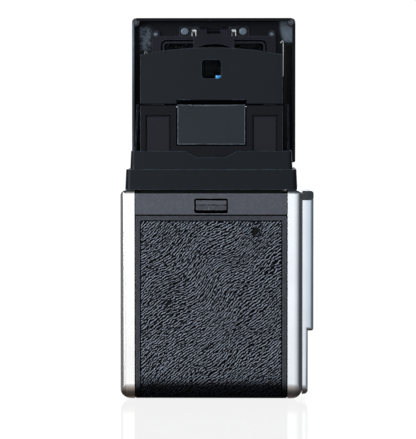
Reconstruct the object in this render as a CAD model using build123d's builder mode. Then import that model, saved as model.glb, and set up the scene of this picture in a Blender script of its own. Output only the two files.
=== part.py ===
from build123d import *
import os
from math import cos, pi, radians, sin

# Frame: millimetres, Z up, X to the photographer's right, Y towards the subject.
# The origin is the mouth of the tripod socket, on the plane that the camera stands on.
# The hood is modelled open: the lid stands up at the front, its four panels stand up inside.

# Body
body_half_width = 53.2
rear_y = -47.0
front_y = 47.0
cover_top_z = 122.5
cover_inner_x = 44.7
cover_wall = 2.0
bottom_radius = 7.0
heel_radius = 9.2
ridge_radius = 2.4
top_edge_radius = 3.6
upright_edge_radius = 3.2
panel_half_width = 44.1
skin = 2.5
shell_top_z = 120.5
split_z = 107.7
gap = 0.3
socket_radius = 2.6
bush_radius = 6.0

# Optics: two lenses of one focal length, one above the other, joined by toothed rings
focal_length = 61.0
film_y = -24.5
lens_y = film_y + focal_length
taking_z = 70.0
lens_spacing = 37.5
viewing_z = taking_z + lens_spacing
mirror_y = -4.5
screen_z = viewing_z + focal_length - (lens_y - mirror_y)
lens_front_y = 56.0
barrel_radius = 14.2
ring_teeth = 30

# Film transport
pack_size = (87.6, 19.5, 62.0)
roller_x = 50.5
roller_gap = 6.2
roller_teeth = 12
drive_teeth = 24
image_size = (62.0, 46.0)
film_width = 54.0

# Door and its catch
door_axis = (-40.0, 7.0)
door_leather_half_width = 41.7
door_leather_top_z = 105.1
counter_place = (26.2, 98.0)

# Hood
ring_half_width = 50.4
ring_y = (-44.5, 45.5)
ring_z = (122.8, 134.6)
ring_opening_x = 46.4
ring_opening_y = (-39.9, 36.0)
hood_taper = 2.8
lid_axis = (42.0, 138.5)
lid_half_width = 50.3
lid_y = (38.5, 52.5)
lid_z = (137.6, 226.4)
lid_wall = 1.9
side_axis = (45.4, 129.0)
side_height = 44.0
leaf_half_width = 41.7
leaf_thickness = 1.2
leaf_axis = (-38.0, 130.6)
seam_z = 172.6
fold_axis = (-39.6, 173.7)
peephole = (11.4, 11.0)
peephole_z = 193.3
magnifier_axis = (48.0, 218.8)

# Front controls, as places across and up
flash_x = (-42.0, -26.0)
flash_z = (97.0, 113.0)
dial_place = (34.5, 108.0)
sensor_place = (34.5, 92.0)
button_place = (36.0, 20.0)
switch_x = (-39.4, -35.4)
switch_z = (18.8, 21.2)
switch_travel = 4.0

# Power
battery_radius = 7.1
battery_z = 18.0
battery_ys = (-18.5, -3.0, 12.5)

pieces = {}


def middle(span):
    """Centre of a range."""
    return (span[0] + span[1]) / 2


def block(x, y, z, mode=Mode.ADD):
    """Box over three ranges."""
    with Locations((middle(x), middle(y), middle(z))):
        Box(x[1] - x[0], y[1] - y[0], z[1] - z[0], mode=mode)


def both_sides(x, y, z, mode=Mode.ADD):
    """Box over three ranges and its mirror image across the middle of the camera."""
    block(x, y, z, mode)
    block((-x[1], -x[0]), y, z, mode)


def rod(axis, through, span, radius, mode=Mode.ADD):
    """Round bar along X, Y or Z. Through holds its other two coordinates."""
    along = middle(span)
    places = {
        "X": Location((along, *through), (0, 90, 0)),
        "Y": Location((through[0], along, through[1]), (90, 0, 0)),
        "Z": Location((*through, along)),
    }
    with Locations(places[axis]):
        Cylinder(radius, span[1] - span[0], mode=mode)


def panel_outline(sketch, x, y, radii):
    """Rectangle over two ranges. Radii run anticlockwise from the low left corner."""
    with Locations((middle(x), middle(y))):
        Rectangle(x[1] - x[0], y[1] - y[0])
    corners = ((x[0], y[0]), (x[1], y[0]), (x[1], y[1]), (x[0], y[1]))
    for corner, radius in zip(corners, radii):
        if radius:
            fillet(sketch.vertices().sort_by_distance((*corner, 0))[0], radius)


def gear_outline(teeth, pitch_radius, first_tooth):
    """Toothed outline round the sketch's origin, with free play between two such gears."""
    module = 2 * pitch_radius / teeth
    pitch_angle = 360 / teeth
    flank = (
        (pitch_radius - 1.15 * module, 0.29),
        (pitch_radius, 0.205),
        (pitch_radius + 0.85 * module, 0.10),
    )
    points = []
    for tooth in range(teeth):
        centre = first_tooth + tooth * pitch_angle
        for side, steps in ((-1, flank), (1, reversed(flank))):
            for radius, share in steps:
                angle = radians(centre + side * share * pitch_angle)
                points.append((radius * cos(angle), radius * sin(angle)))
    with BuildLine() as outline:
        Polyline(*points, close=True)
    make_face(outline.edges())


def door_band(inner, outer, top_z, sweep):
    """Door section: a wall that bends under the body round the hinge, between two distances."""
    y, z = door_axis
    end = radians(180 + sweep)
    with BuildLine() as band:
        Line((y - outer, top_z), (y - outer, z))
        CenterArc((y, z), outer, 180, sweep)
        Line(
            (y + outer * cos(end), z + outer * sin(end)),
            (y + inner * cos(end), z + inner * sin(end)),
        )
        CenterArc((y, z), inner, 180, sweep)
        Line((y - inner, z), (y - inner, top_z))
        Line((y - inner, top_z), (y - outer, top_z))
    make_face(band.edges())


# Main body shell: the black moulding that everything is fixed to

shell_foot_z = 3.2
shell_front_y = 44.8
roof_z = 118.3
chamber_z = (37.6, 102.4)
gate_y = (-22.7, -20.5)
film_room = ((-50, 50), (-50, gate_y[0]), chamber_z)
image_gate = ((-31, 31), (-24, -20), (taking_z - 23, taking_z + 23))
lens_room = ((-38, 38), (gate_y[1], 41.5), (chamber_z[0], roof_z))
screen_opening = ((-36, 36), (-31, 36), (117, 124))
board_room = ((-42, 42), (-41.5, gate_y[0]), (104.6, roof_z))
drive_opening = ((43.2, 46), (gate_y[0] - 1, -3.6), (96, roof_z))
battery_bay = ((-50.0, 12.0), (-26.8, 20.8), (10.0, 26.2))
catch_opening = ((-9.2, 9.2), (-50, -41), (102, roof_z))
hinge_room = ((-50, 50), (-50, -32.4), (0, 14.6))
switch_room = ((-42, -28), (42.8, 46), (16.4, 23.6))
rooms = (film_room, image_gate, lens_room, screen_opening, board_room, drive_opening,
         battery_bay, catch_opening, hinge_room, switch_room)
hinge_lug_x = (30.0, 36.0)
hinge_lug_radius = 3.6
barrel_bore = 16.0
pin_hole = 1.02

with BuildPart() as main_body_shell:
    block((-44.5, 44.5), (-44.3, shell_front_y), (shell_foot_z, shell_top_z))
    block((-42.0, 42.0), (-40.0, 40.0), (shell_top_z - 1, ring_z[0]))
    for room in rooms:
        block(*room, Mode.SUBTRACT)
    for z, rear in ((taking_z, 40.0), (viewing_z, 35.8)):
        rod("Y", (0, z), (rear, 46), barrel_bore, Mode.SUBTRACT)
    for side in (-1, 1):
        lug = sorted((side * hinge_lug_x[0], side * hinge_lug_x[1]))
        rod("X", door_axis, lug, hinge_lug_radius)
        block(lug, (-43.6, -36.4), (door_axis[1], 15))
    rod("X", door_axis, (-46, 46), pin_hole, Mode.SUBTRACT)
    rod("Z", (0, 0), (0, 9.4), bush_radius + 0.02, Mode.SUBTRACT)
    flash_hole = [(low - 0.4, high + 0.4) for low, high in (flash_x, flash_z)]
    block(flash_hole[0], (34, 46), flash_hole[1], Mode.SUBTRACT)
    rod("Y", dial_place, (40, 46), 4.4, Mode.SUBTRACT)
    rod("Y", sensor_place, (40, 46), 3.2, Mode.SUBTRACT)
    rod("Y", button_place, (36, 46), 4.6, Mode.SUBTRACT)
pieces["main_body_shell"] = main_body_shell


# Side covers: brushed metal cups that close the body left and right


def cover_body(side, inset):
    """Outer form of a side cover, drawn in by an inset."""
    outer = body_half_width - inset
    inner = cover_inner_x - (1.0 if inset else 0.0)
    x = (inner, outer) if side > 0 else (-outer, -inner)
    outer_radii = (top_edge_radius, upright_edge_radius, bottom_radius, heel_radius, ridge_radius)
    top, upright, low, heel, ridge = (radius - inset for radius in outer_radii)
    outside_first = side < 0
    mode = Mode.SUBTRACT if inset else Mode.ADD

    def at_outside(low, high):
        return (low, 0, 0, high) if outside_first else (0, low, high, 0)

    with BuildPart(mode=Mode.PRIVATE) as form:
        with BuildSketch(Plane.XZ) as across:
            z = (inset, cover_top_z - inset)
            panel_outline(across, x, z, at_outside(low, top))
        extrude(amount=front_y - inset, both=True)
        with BuildSketch(Plane.YZ) as along:
            y = (rear_y + inset, front_y - inset)
            panel_outline(along, y, z, (heel, heel, ridge, ridge))
        extrude(amount=body_half_width + 1, both=True, mode=Mode.INTERSECT)
        with BuildSketch(Plane.XY) as plan:
            if outside_first:
                radii = (upright, 0, 0, upright)
            else:
                radii = (0, upright, upright, 0)
            panel_outline(plan, x, y, radii)
        extrude(amount=cover_top_z + 1, mode=Mode.INTERSECT)
    add(form.part, mode=mode)


battery_door_y = (-28.0, 22.0)
battery_door_z = (9.0, 27.4)
battery_axis_z = battery_door_z[0] + 1.0
battery_axis = (-52.2, battery_axis_z)
battery_pin_radius = 0.65
roller_window = ((50, 54), (-37, -3.2), (34, 119))

with BuildPart() as left_side_cover:
    cover_body(-1, 0.0)
    cover_body(-1, cover_wall)
    block(
        (-54, -50),
        (battery_door_y[0] - gap, battery_door_y[1] + gap),
        (battery_door_z[0] - gap, battery_door_z[1] + gap),
        Mode.SUBTRACT,
    )
    battery_pin_y = (battery_door_y[0] - 1.8, battery_door_y[1] + 1.8)
    rod("Y", battery_axis, battery_pin_y, battery_pin_radius + 0.1, Mode.SUBTRACT)
pieces["left_side_cover"] = left_side_cover

with BuildPart() as right_side_cover:
    cover_body(1, 0.0)
    cover_body(1, cover_wall)
    block(*roller_window, Mode.SUBTRACT)
pieces["right_side_cover"] = right_side_cover


# Film exit cover: the stepped metal housing on the right, with the slot for the picture

exit_y = (-44.5, 2.0)
exit_thin_x = 56.6
exit_thick_x = 59.9
exit_z = (2.6, 122.1)
exit_step_z = 40.3
exit_bevel = 5.4
exit_wall = 1.8
exit_hollow_z = (44.6, 116.4)
exit_slot_half_width = 1.1


def exit_step(outer_x, z, corners, heel, upright, bevel):
    """One step of the housing: corners low and high at its side, a round heel and upright."""
    x = (body_half_width, outer_x)
    with BuildPart(mode=Mode.PRIVATE) as step:
        with BuildSketch(Plane.XZ.offset(-exit_y[1])) as across:
            panel_outline(across, x, z, (0, *corners, 0))
        extrude(amount=exit_y[1] - exit_y[0])
        with BuildSketch(Plane.YZ) as along:
            panel_outline(along, exit_y, z, (heel, 0, 1.0, 0))
            if bevel:
                top = along.vertices().sort_by_distance((exit_y[0], z[1], 0))[0]
                chamfer(top, bevel)
        extrude(amount=exit_thick_x + 1, mode=Mode.INTERSECT)
        with BuildSketch(Plane.XY) as plan:
            panel_outline(plan, x, exit_y, (0, upright, upright, 0))
        extrude(amount=exit_z[1] + 1, mode=Mode.INTERSECT)
    add(step.part)


with BuildPart() as film_exit_cover:
    exit_step(exit_thin_x, (exit_z[0], exit_step_z + 4), (3.2, 0), 6.0, 1.6, 0)
    exit_step(exit_thick_x, (exit_step_z, exit_z[1]), (1.6, 1.6), 2.2, 2.4, exit_bevel)
    hollow_y = (exit_y[0] + exit_wall, exit_y[1] - exit_wall)
    block((52, exit_thick_x - exit_wall), hollow_y, exit_hollow_z, Mode.SUBTRACT)
    block((52, exit_thin_x - 1.7), roller_window[1], (35.4, 45), Mode.SUBTRACT)
    slot_z = (taking_z - film_width / 2, taking_z + film_width / 2)
    slot_y = (film_y - exit_slot_half_width, film_y + exit_slot_half_width)
    block((56, 61), slot_y, slot_z, Mode.SUBTRACT)
pieces["film_exit_cover"] = film_exit_cover


# Base plate, tripod socket and the screws in the base

base_thickness = 3.0
base_screw_places = [(x, y) for x in (-38.0, 38.0) for y in (-26.0, 38.0)]
screw_head_radius = 2.5
screw_shank_radius = 1.2
screw_slot = (1.7, 0.3)

with BuildPart() as base_plate:
    with BuildSketch(Plane.XY) as base_outline:
        panel_outline(base_outline, (-44.4, 44.4), (-32.6, front_y), (0, 0, 3.0, 3.0))
    extrude(amount=base_thickness)
    rod("Z", (0, 0), (-1, 4), bush_radius + 0.02, Mode.SUBTRACT)
    with Locations(*((x, y, 0) for x, y in base_screw_places)):
        Cylinder(screw_head_radius + 0.1, 1.6, align=(Align.CENTER, Align.CENTER, Align.MIN),
                 mode=Mode.SUBTRACT)
        Cylinder(screw_shank_radius + 0.1, 8, mode=Mode.SUBTRACT)
pieces["base_plate"] = base_plate

with BuildPart() as tripod_socket:
    rod("Z", (0, 0), (0, 9.2), bush_radius)
    rod("Z", (0, 0), (-1, 7.5), socket_radius, Mode.SUBTRACT)
pieces["tripod_socket"] = tripod_socket

with BuildPart() as body_screws:
    for x, y in base_screw_places:
        rod("Z", (x, y), (0.3, 1.6), screw_head_radius)
        rod("Z", (x, y), (1.5, base_thickness + 0.1), screw_shank_radius)
        for across, along in (screw_slot, reversed(screw_slot)):
            block((x - across, x + across), (y - along, y + along), (0, 0.9), Mode.SUBTRACT)
pieces["body_screws"] = body_screws


# Rear top panel with the catch in its pocket

strip_y = (rear_y, -44.7)
strip_z = (split_z + 2 * gap, 120.7)
pocket_x = (-9.9, 9.9)
pocket_z = (109.0, 117.8)
pocket_depth = 1.8
bar_x = (-8.8, 8.8)
bar_y = -46.3
fixed_bar_z = (114.2, 116.5)
slider_z = (111.0, 113.6)
knob_radius = 1.5
arm_y = (-44.3, -43.4)
catch_arm_z = (105.8, 107.4)

with BuildPart() as rear_top_panel:
    block((-panel_half_width, panel_half_width), strip_y, strip_z)
    chamfer(rear_top_panel.edges().group_by(Axis.Z)[-1].sort_by(Axis.Y)[0], 0.6)
    with BuildSketch(Plane.XZ.offset(-strip_y[0])) as pocket:
        panel_outline(pocket, pocket_x, pocket_z, (1, 1, 1, 1))
    extrude(amount=-pocket_depth, mode=Mode.SUBTRACT)
    block((-2.7, 2.7), (-46, -44), (108.2, slider_z[1] + 0.4), Mode.SUBTRACT)
    block(bar_x, (bar_y, strip_y[0] + pocket_depth + 0.1), fixed_bar_z)
pieces["rear_top_panel"] = rear_top_panel

with BuildPart() as latch_slider:
    block(bar_x, (bar_y, -45.4), slider_z)
    fillet(latch_slider.edges().filter_by(Axis.Y), 0.5)
    rod("Y", (0, middle(slider_z) + 0.1), (bar_y - 0.4, bar_y + 0.1), knob_radius)
    block((-2.2, 2.2), (-45.5, arm_y[1]), slider_z)
    block((-2.2, 2.2), arm_y, (catch_arm_z[0], slider_z[1]))
    block((-5.6, 5.6), arm_y, catch_arm_z)
pieces["latch_slider"] = latch_slider


# Rear door: frame, leather, counter window and film springs

counter_radius = 1.9
knuckle_x = (36.5, 42.5)
knuckle_radius = 4.6
door_outer = 7.0
door_sweep = 66
leather_seat = 6.4
hook_z = (102.4, 107.4)
spring_z = (48.0, 92.0)
spring_width = 8.0

with BuildPart() as door_frame:
    with BuildSketch(Plane.YZ):
        door_band(door_outer - skin, door_outer, split_z, door_sweep)
    extrude(amount=panel_half_width - 0.1, both=True)
    fillet(door_frame.edges().filter_by(Axis.Y).group_by(Axis.Z)[-1], 1.0)
    with BuildSketch(Plane.YZ):
        door_band(leather_seat, door_outer + 1, door_leather_top_z, 54)
    extrude(amount=door_leather_half_width, both=True, mode=Mode.SUBTRACT)
    rod("Y", counter_place, (-48, -44), counter_radius + 0.02, Mode.SUBTRACT)
    for side in (-1, 1):
        rod("X", door_axis, sorted((side * knuckle_x[0], side * knuckle_x[1])),
            knuckle_radius)
    both_sides((6.3, 8.0), (-44.6, -42.0), hook_z)
    both_sides((3.0, 6.4), (-43.0, -42.0), (105.7, hook_z[1]))
    rod("X", door_axis, (-46, 46), pin_hole + 0.04, Mode.SUBTRACT)
pieces["door_frame"] = door_frame

with BuildPart() as door_leather:
    with BuildSketch(Plane.YZ):
        door_band(leather_seat + 0.02, door_outer + 0.05, door_leather_top_z - 0.1, 53)
    extrude(amount=door_leather_half_width - 0.1, both=True)
    rod("Y", counter_place, (-48, -44), counter_radius + 0.1, Mode.SUBTRACT)
pieces["door_leather"] = door_leather

with BuildPart() as counter_window:
    rod("Y", counter_place, (-46.6, -44.6), counter_radius)
    with Locations((counter_place[0], -45.6, counter_place[1])):
        Sphere(1.3)
pieces["counter_window"] = counter_window

with BuildPart() as film_pressure_springs:
    for x in (-22.0, 22.0):
        with BuildSketch(Plane.YZ.offset(x - spring_width / 2)) as spring_side:
            low, high = spring_z
            with BuildLine():
                bow = ThreePointArc((-44.45, low), (-43.9, taking_z), (-44.45, high))
                back = Line(bow @ 1, (-44.15, high + 0.6))
                inner = ThreePointArc(back @ 1, (-43.6, taking_z), (-44.15, low - 0.6))
                Line(inner @ 1, bow @ 0)
            make_face()
        extrude(amount=spring_width)
pieces["film_pressure_springs"] = film_pressure_springs


# Front panel, leather, lens board and what shows in the front

board_half_width = 23.5
board_z = (43.5, 129.0)
panel_y = (45.0, front_y)
leather_thickness = 0.6
leather_margin = 0.4
dial_radius = 8.0
dial_shaft_radius = 2.1
dial_y = (47.3, 50.3)
dial_notches = 24
sensor_radius = 2.4
sensor_rim_radius = 3.2
button_radius = 3.0
button_flange_radius = 4.2
switch_bezel = (11.4, 5.2)
flash_rim = 1.0
reflector_mouth = 14.2
reflector_y = (37.6, 46.2)

with BuildPart() as front_panel:
    block((-panel_half_width, panel_half_width), panel_y, (3.3, 120.7))
    for z in (taking_z, viewing_z):
        rod("Y", (0, z), (44, 48), 14.4, Mode.SUBTRACT)
    block(flash_x, (44, 48), flash_z, Mode.SUBTRACT)
    rod("Y", dial_place, (44, 48), dial_shaft_radius + 0.1, Mode.SUBTRACT)
    rod("Y", sensor_place, (44, 48), sensor_radius + 0.02, Mode.SUBTRACT)
    rod("Y", button_place, (44, 48), button_radius + 0.3, Mode.SUBTRACT)
    switch_slot_x = (switch_x[0] - 0.5, switch_x[1] + switch_travel + 0.5)
    switch_slot_z = (switch_z[0] - gap, switch_z[1] + gap)
    block(switch_slot_x, (44, 48), switch_slot_z, Mode.SUBTRACT)
pieces["front_panel"] = front_panel

with BuildPart() as front_leather:
    with BuildSketch(Plane.XZ.offset(-front_y)) as front_outline:
        panel_outline(front_outline, (-43.4, 43.4), (4.6, 119.6), (2, 2, 2, 2))
        with Locations((0, middle(board_z) + 10)):
            Rectangle(
                2 * board_half_width + 0.4, board_z[1] - board_z[0] + 20.4, mode=Mode.SUBTRACT
            )
        with Locations((middle(flash_x), middle(flash_z))):
            flash_frame = flash_x[1] - flash_x[0] + 2 * (flash_rim + 0.2)
            Rectangle(flash_frame, flash_frame, mode=Mode.SUBTRACT)
        for place, radius in (
            (dial_place, dial_radius + 0.2),
            (sensor_place, sensor_rim_radius - 0.2),
            (button_place, button_radius + 2.0),
        ):
            with Locations(place):
                Circle(radius + leather_margin, mode=Mode.SUBTRACT)
        with Locations((middle(switch_slot_x), middle(switch_slot_z))):
            Rectangle(*switch_bezel, mode=Mode.SUBTRACT)
    extrude(amount=-leather_thickness)
pieces["front_leather"] = front_leather

with BuildPart() as lens_board:
    with BuildSketch(Plane.XZ.offset(-front_y)) as board_outline:
        board_x = (-board_half_width, board_half_width)
        panel_outline(board_outline, board_x, board_z, (6, 6, 9, 9))
    extrude(amount=-3.0)
    fillet(lens_board.faces().sort_by(Axis.Y)[-1].edges(), 0.8)
    for z in (taking_z, viewing_z):
        rod("Y", (0, z), (46, 51), 14.22, Mode.SUBTRACT)
pieces["lens_board"] = lens_board

with BuildPart() as flash_reflector:
    across, up = ((low + gap, high - gap) for low, high in (flash_x, flash_z))
    block(across, reflector_y, up)
    with BuildSketch(Plane.XZ.offset(-reflector_y[1])):
        with Locations((middle(flash_x), middle(flash_z))):
            Rectangle(reflector_mouth, reflector_mouth)
    extrude(amount=7.4, taper=28, mode=Mode.SUBTRACT)
pieces["flash_reflector"] = flash_reflector

with BuildPart() as flash_window:
    block(flash_x, (46.3, 47.8), flash_z)
    across, up = ((low - flash_rim, high + flash_rim) for low, high in (flash_x, flash_z))
    block(across, (47.02, 47.8), up)
    fillet(flash_window.edges().filter_by(Axis.Y).group_by(Axis.Y)[-1], 1.0)
pieces["flash_window"] = flash_window

with BuildPart() as light_sensor:
    rod("Y", sensor_place, (42.5, 47.4), sensor_radius)
    rod("Y", sensor_place, (47.05, 47.7), sensor_rim_radius)
    with Locations((sensor_place[0], 46.7, sensor_place[1])):
        Sphere(1.9)
pieces["light_sensor"] = light_sensor

with BuildPart() as exposure_dial:
    rod("Y", dial_place, dial_y, dial_radius)
    chamfer(exposure_dial.edges().group_by(Axis.Y)[-1], 0.6)
    for notch in range(dial_notches):
        angle = 2 * pi * notch / dial_notches
        reach = dial_radius + 0.1
        x, z = dial_place[0] + reach * cos(angle), dial_place[1] + reach * sin(angle)
        rod("Y", (x, z), (dial_y[0] - 0.1, dial_y[1] + 0.1), 0.45, Mode.SUBTRACT)
    rod("Y", dial_place, (41.0, dial_y[0] + 0.1), dial_shaft_radius)
pieces["exposure_dial"] = exposure_dial

with BuildPart() as shutter_button:
    rod("Y", button_place, (42.0, 50.6), button_radius)
    rod("Y", button_place, (42.0, 44.2), button_flange_radius)
    fillet(shutter_button.edges().filter_by(GeomType.CIRCLE).sort_by(Axis.Y)[-1], 0.8)
pieces["shutter_button"] = shutter_button

with BuildPart() as mode_switch:
    block((switch_x[0] - 1.2, switch_x[1] + 1.2), (43.4, 44.7), (17.2, 22.8))
    block(switch_x, (44.6, 49.4), switch_z)
    fillet(mode_switch.faces().sort_by(Axis.Y)[-1].edges(), 0.5)
    for groove in range(3):
        x = switch_x[0] + 1.0 * (groove + 1)
        block((x - 0.2, x + 0.2), (49.0, 49.5), (18, 22), Mode.SUBTRACT)
pieces["mode_switch"] = mode_switch


# Lenses: fixed barrels, toothed focusing rings, front elements, aperture ring and shutter

ring_pitch_radius = lens_spacing / 2
ring_span = (52.4, 55.0)
ring_rim_radius = 16.2
glass_radius = 10.4
barrel_hole_radius = 11.6
rear_glass_y = (44.0, 46.0)
aperture_ring_radius = 17.4
aperture_ring_y = (50.3, 52.1)
aperture_tab = (21.4, 1.1)
shutter_radius = 16.4
shutter_y = (31.0, 41.2)


def lens_barrel(z, rear):
    """Fixed tube with the rear glass in it."""
    with BuildPart() as barrel:
        rod("Y", (0, z), (rear, 53.8), barrel_radius)
        rod("Y", (0, z), (rear - 1, 54), barrel_hole_radius, Mode.SUBTRACT)
        rod("Y", (0, z), rear_glass_y, barrel_hole_radius + 0.1)
    return barrel


def focus_ring(z, first_tooth):
    """Toothed ring that turns on the barrel and carries the front cell."""
    with BuildPart() as ring:
        with BuildSketch(Plane((0, ring_span[1], z), x_dir=(1, 0, 0), z_dir=(0, -1, 0))):
            gear_outline(ring_teeth, ring_pitch_radius, first_tooth)
        extrude(amount=ring_span[1] - ring_span[0])
        rod("Y", (0, z), (54.2, lens_front_y), ring_rim_radius)
        chamfer(ring.edges().filter_by(GeomType.CIRCLE).sort_by(Axis.Y)[-1], 0.7)
        rod("Y", (0, z), (52, 54.2), barrel_radius + gap, Mode.SUBTRACT)
        rod("Y", (0, z), (52, 57), glass_radius + 0.1, Mode.SUBTRACT)
        with Locations(Location((0, lens_front_y, z), (90, 0, 0))):
            Cone(13.4, glass_radius + 0.1, 1.6, align=(Align.CENTER, Align.CENTER, Align.MIN),
                 mode=Mode.SUBTRACT)
    return ring


def front_lens(z):
    """Front glass, bulged to the front."""
    with BuildPart() as glass:
        rod("Y", (0, z), (52.6, 54.2), glass_radius)
        with BuildPart(mode=Mode.PRIVATE) as ball:
            with Locations((0, 54.2 - 37.0, z)):
                Sphere(38.6)
            block((-20, 20), (-60, 54.1), (z - 50, z + 50), Mode.SUBTRACT)
            rod("Y", (0, z), (50, 58), glass_radius, Mode.INTERSECT)
        add(ball.part)
    return glass


pieces["viewing_lens_barrel"] = lens_barrel(viewing_z, 36.0)
pieces["taking_lens_barrel"] = lens_barrel(taking_z, 41.4)
pieces["viewing_focus_ring"] = focus_ring(viewing_z, 270)
pieces["taking_focus_ring"] = focus_ring(taking_z, 90 + 180 / ring_teeth)
pieces["viewing_front_lens"] = front_lens(viewing_z)
pieces["taking_front_lens"] = front_lens(taking_z)

with BuildPart() as aperture_ring:
    rod("Y", (0, taking_z), aperture_ring_y, aperture_ring_radius)
    reach, half_width = aperture_tab
    block((16, reach), (aperture_ring_y[0] + 0.2, aperture_ring_y[1] - 0.2),
          (taking_z - half_width, taking_z + half_width))
    fillet(aperture_ring.edges().filter_by(Axis.Y).sort_by(Axis.X)[-2:], 0.9)
    rod("Y", (0, taking_z), (50, 53), barrel_radius + gap, Mode.SUBTRACT)
pieces["aperture_ring"] = aperture_ring

with BuildPart() as shutter_unit:
    rod("Y", (0, taking_z), shutter_y, shutter_radius)
    rod("Y", (0, taking_z), (30, 42), 9.0, Mode.SUBTRACT)
    block((9, 13), (32, 40), (taking_z + 8, taking_z + 15.6))
    rod("Y", (0, taking_z), (35.8, 36.4), 9.1)
pieces["shutter_unit"] = shutter_unit


# Light chamber behind the taking lens, and the mirror housing below the screen

chamber_wall = 1.2
chamber_ends = ((30.8, (23.0, 23.0)), (-20.3, (60.0, 45.0)))

with BuildPart() as light_chamber:
    for wall, mode in ((chamber_wall, Mode.ADD), (0.0, Mode.SUBTRACT)):
        for y, size in chamber_ends:
            with BuildSketch(Plane((0, y, taking_z), x_dir=(1, 0, 0), z_dir=(0, -1, 0))):
                Rectangle(size[0] + 2 * wall, size[1] + 2 * wall)
        loft(mode=mode)
pieces["light_chamber"] = light_chamber

mirror_sum = mirror_y + viewing_z
housing_top_z = ring_z[0] - 0.2
back_sum = mirror_sum - 2.6
housing_wall = 1.4
housing_front_y = 35.6
housing_foot_z = 92.0
housing_half_width = 34.6
mirror_size = (64.0, 36.4)
mirror_thickness = 1.6

with BuildPart() as mirror_housing:
    with BuildSketch(Plane.YZ):
        outer_sum = back_sum - housing_wall * 2**0.5
        Polygon(
            (housing_front_y, housing_foot_z), (housing_front_y, housing_top_z),
            (outer_sum - housing_top_z, housing_top_z),
            (outer_sum - housing_foot_z, housing_foot_z), align=None,
        )
    extrude(amount=housing_half_width, both=True)
    with BuildSketch(Plane.YZ):
        floor_z = housing_foot_z + housing_wall
        wall_y = housing_front_y - housing_wall
        Polygon(
            (wall_y, floor_z), (wall_y, 130), (back_sum - 130, 130),
            (back_sum - floor_z, floor_z), align=None,
        )
    extrude(amount=housing_half_width - housing_wall, both=True, mode=Mode.SUBTRACT)
    rod("Y", (0, viewing_z), (33, 37), 12.6, Mode.SUBTRACT)
pieces["mirror_housing"] = mirror_housing

with BuildPart() as reflex_mirror:
    with BuildSketch(Plane((0, mirror_y, viewing_z), x_dir=(1, 0, 0), z_dir=(0, 1, 1))):
        Rectangle(*mirror_size)
    extrude(amount=-mirror_thickness)
pieces["reflex_mirror"] = reflex_mirror

screen_y = (mirror_y - 25.0, mirror_y + 25.0)

with BuildPart() as focusing_screen:
    block((-33, 33), screen_y, (screen_z - 1.6, screen_z))
pieces["focusing_screen"] = focusing_screen


# Electrics and film transport

capacitor_place = (-32.0, 111.4)
capacitor_x = (-40.0, -12.0)
capacitor_radius = 5.6
circuit_x = (14.0, 41.0)
circuit_y = (-40.0, -24.0)
circuit_z = (106.0, 107.4)
chip = ((17.0, 27.0), (-37.0, -28.0), 1.6)
plug = ((30.0, 38.0), (-38.0, -34.0), 3.0)
can_xs = (29.5, 34.0, 38.5)
can_y = -28.0
can_size = (1.8, 4.6)

with BuildPart() as flash_capacitor:
    rod("X", capacitor_place, capacitor_x, capacitor_radius)
    fillet(flash_capacitor.edges().filter_by(GeomType.CIRCLE), 0.7)
pieces["flash_capacitor"] = flash_capacitor

with BuildPart() as main_circuit_board:
    block(circuit_x, circuit_y, circuit_z)
    for across, along, height in (chip, plug):
        block(across, along, (circuit_z[1] - 0.1, circuit_z[1] + height))
    for x in can_xs:
        rod("Z", (x, can_y), (circuit_z[1] - 0.1, circuit_z[1] + can_size[1]), can_size[0])
pieces["main_circuit_board"] = main_circuit_board

with BuildPart() as film_pack:
    pack_y = (-42.9, -42.9 + pack_size[1])
    pack_z = (taking_z - pack_size[2] / 2, taking_z + pack_size[2] / 2)
    block((-pack_size[0] / 2, pack_size[0] / 2), pack_y, pack_z)
    fillet(film_pack.edges().filter_by(Axis.X), 1.2)
    image_x, image_z = image_size[0] / 2, image_size[1] / 2
    block((-image_x, image_x), (film_y, -20), (taking_z - image_z, taking_z + image_z),
          Mode.SUBTRACT)
    block((-50, -36), (-26.0, -20), (96.4, 102), Mode.SUBTRACT)
pieces["film_pack"] = film_pack

claw_x = (-43.6, -28.0)
claw_z = (101.2, 102.2)
claw_tip_z = 97.2

with BuildPart() as eject_claw:
    block(claw_x, (-27.6, -23.8), claw_z)
    block((claw_x[0], claw_x[0] + 1.2), (-25.4, -24.0), (claw_tip_z, claw_z[0] + 0.2))
pieces["eject_claw"] = eject_claw

battery_x = (-40.6, 8.6)
battery_cap = (2.7, 1.3)
contact_size = 4.0
finger_y = (-9.0, 3.0)
finger_size = 1.2

with BuildPart() as batteries:
    for y in battery_ys:
        rod("X", (y, battery_z), battery_x, battery_radius)
        rod("X", (y, battery_z), (battery_x[1] - 0.1, battery_x[1] + battery_cap[1]),
            battery_cap[0])
pieces["batteries"] = batteries

with BuildPart() as battery_door:
    block((-body_half_width, -51.2), battery_door_y, (battery_axis_z, battery_door_z[1]))
    rod("Y", battery_axis, battery_door_y, 1.0)
    pin_y = (battery_pin_y[0] + 0.2, battery_pin_y[1] - 0.2)
    rod("Y", battery_axis, pin_y, battery_pin_radius)
    for y in battery_ys:
        across = (y - contact_size, y + contact_size)
        block((-51.3, -50.4), across, (battery_z - contact_size, battery_z + contact_size))
    finger_z = battery_door_z[1] - 3.0
    block((-54, -52.6), finger_y, (finger_z - finger_size, finger_z + finger_size), Mode.SUBTRACT)
pieces["battery_door"] = battery_door

roller_ys = (film_y + roller_gap / 2, film_y - roller_gap / 2)
gear_z = (100.6, 104.0)
drive_y = roller_ys[0] + roller_gap / 2 * (1 + drive_teeth / roller_teeth)
shaft_radius = 1.1


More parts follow.
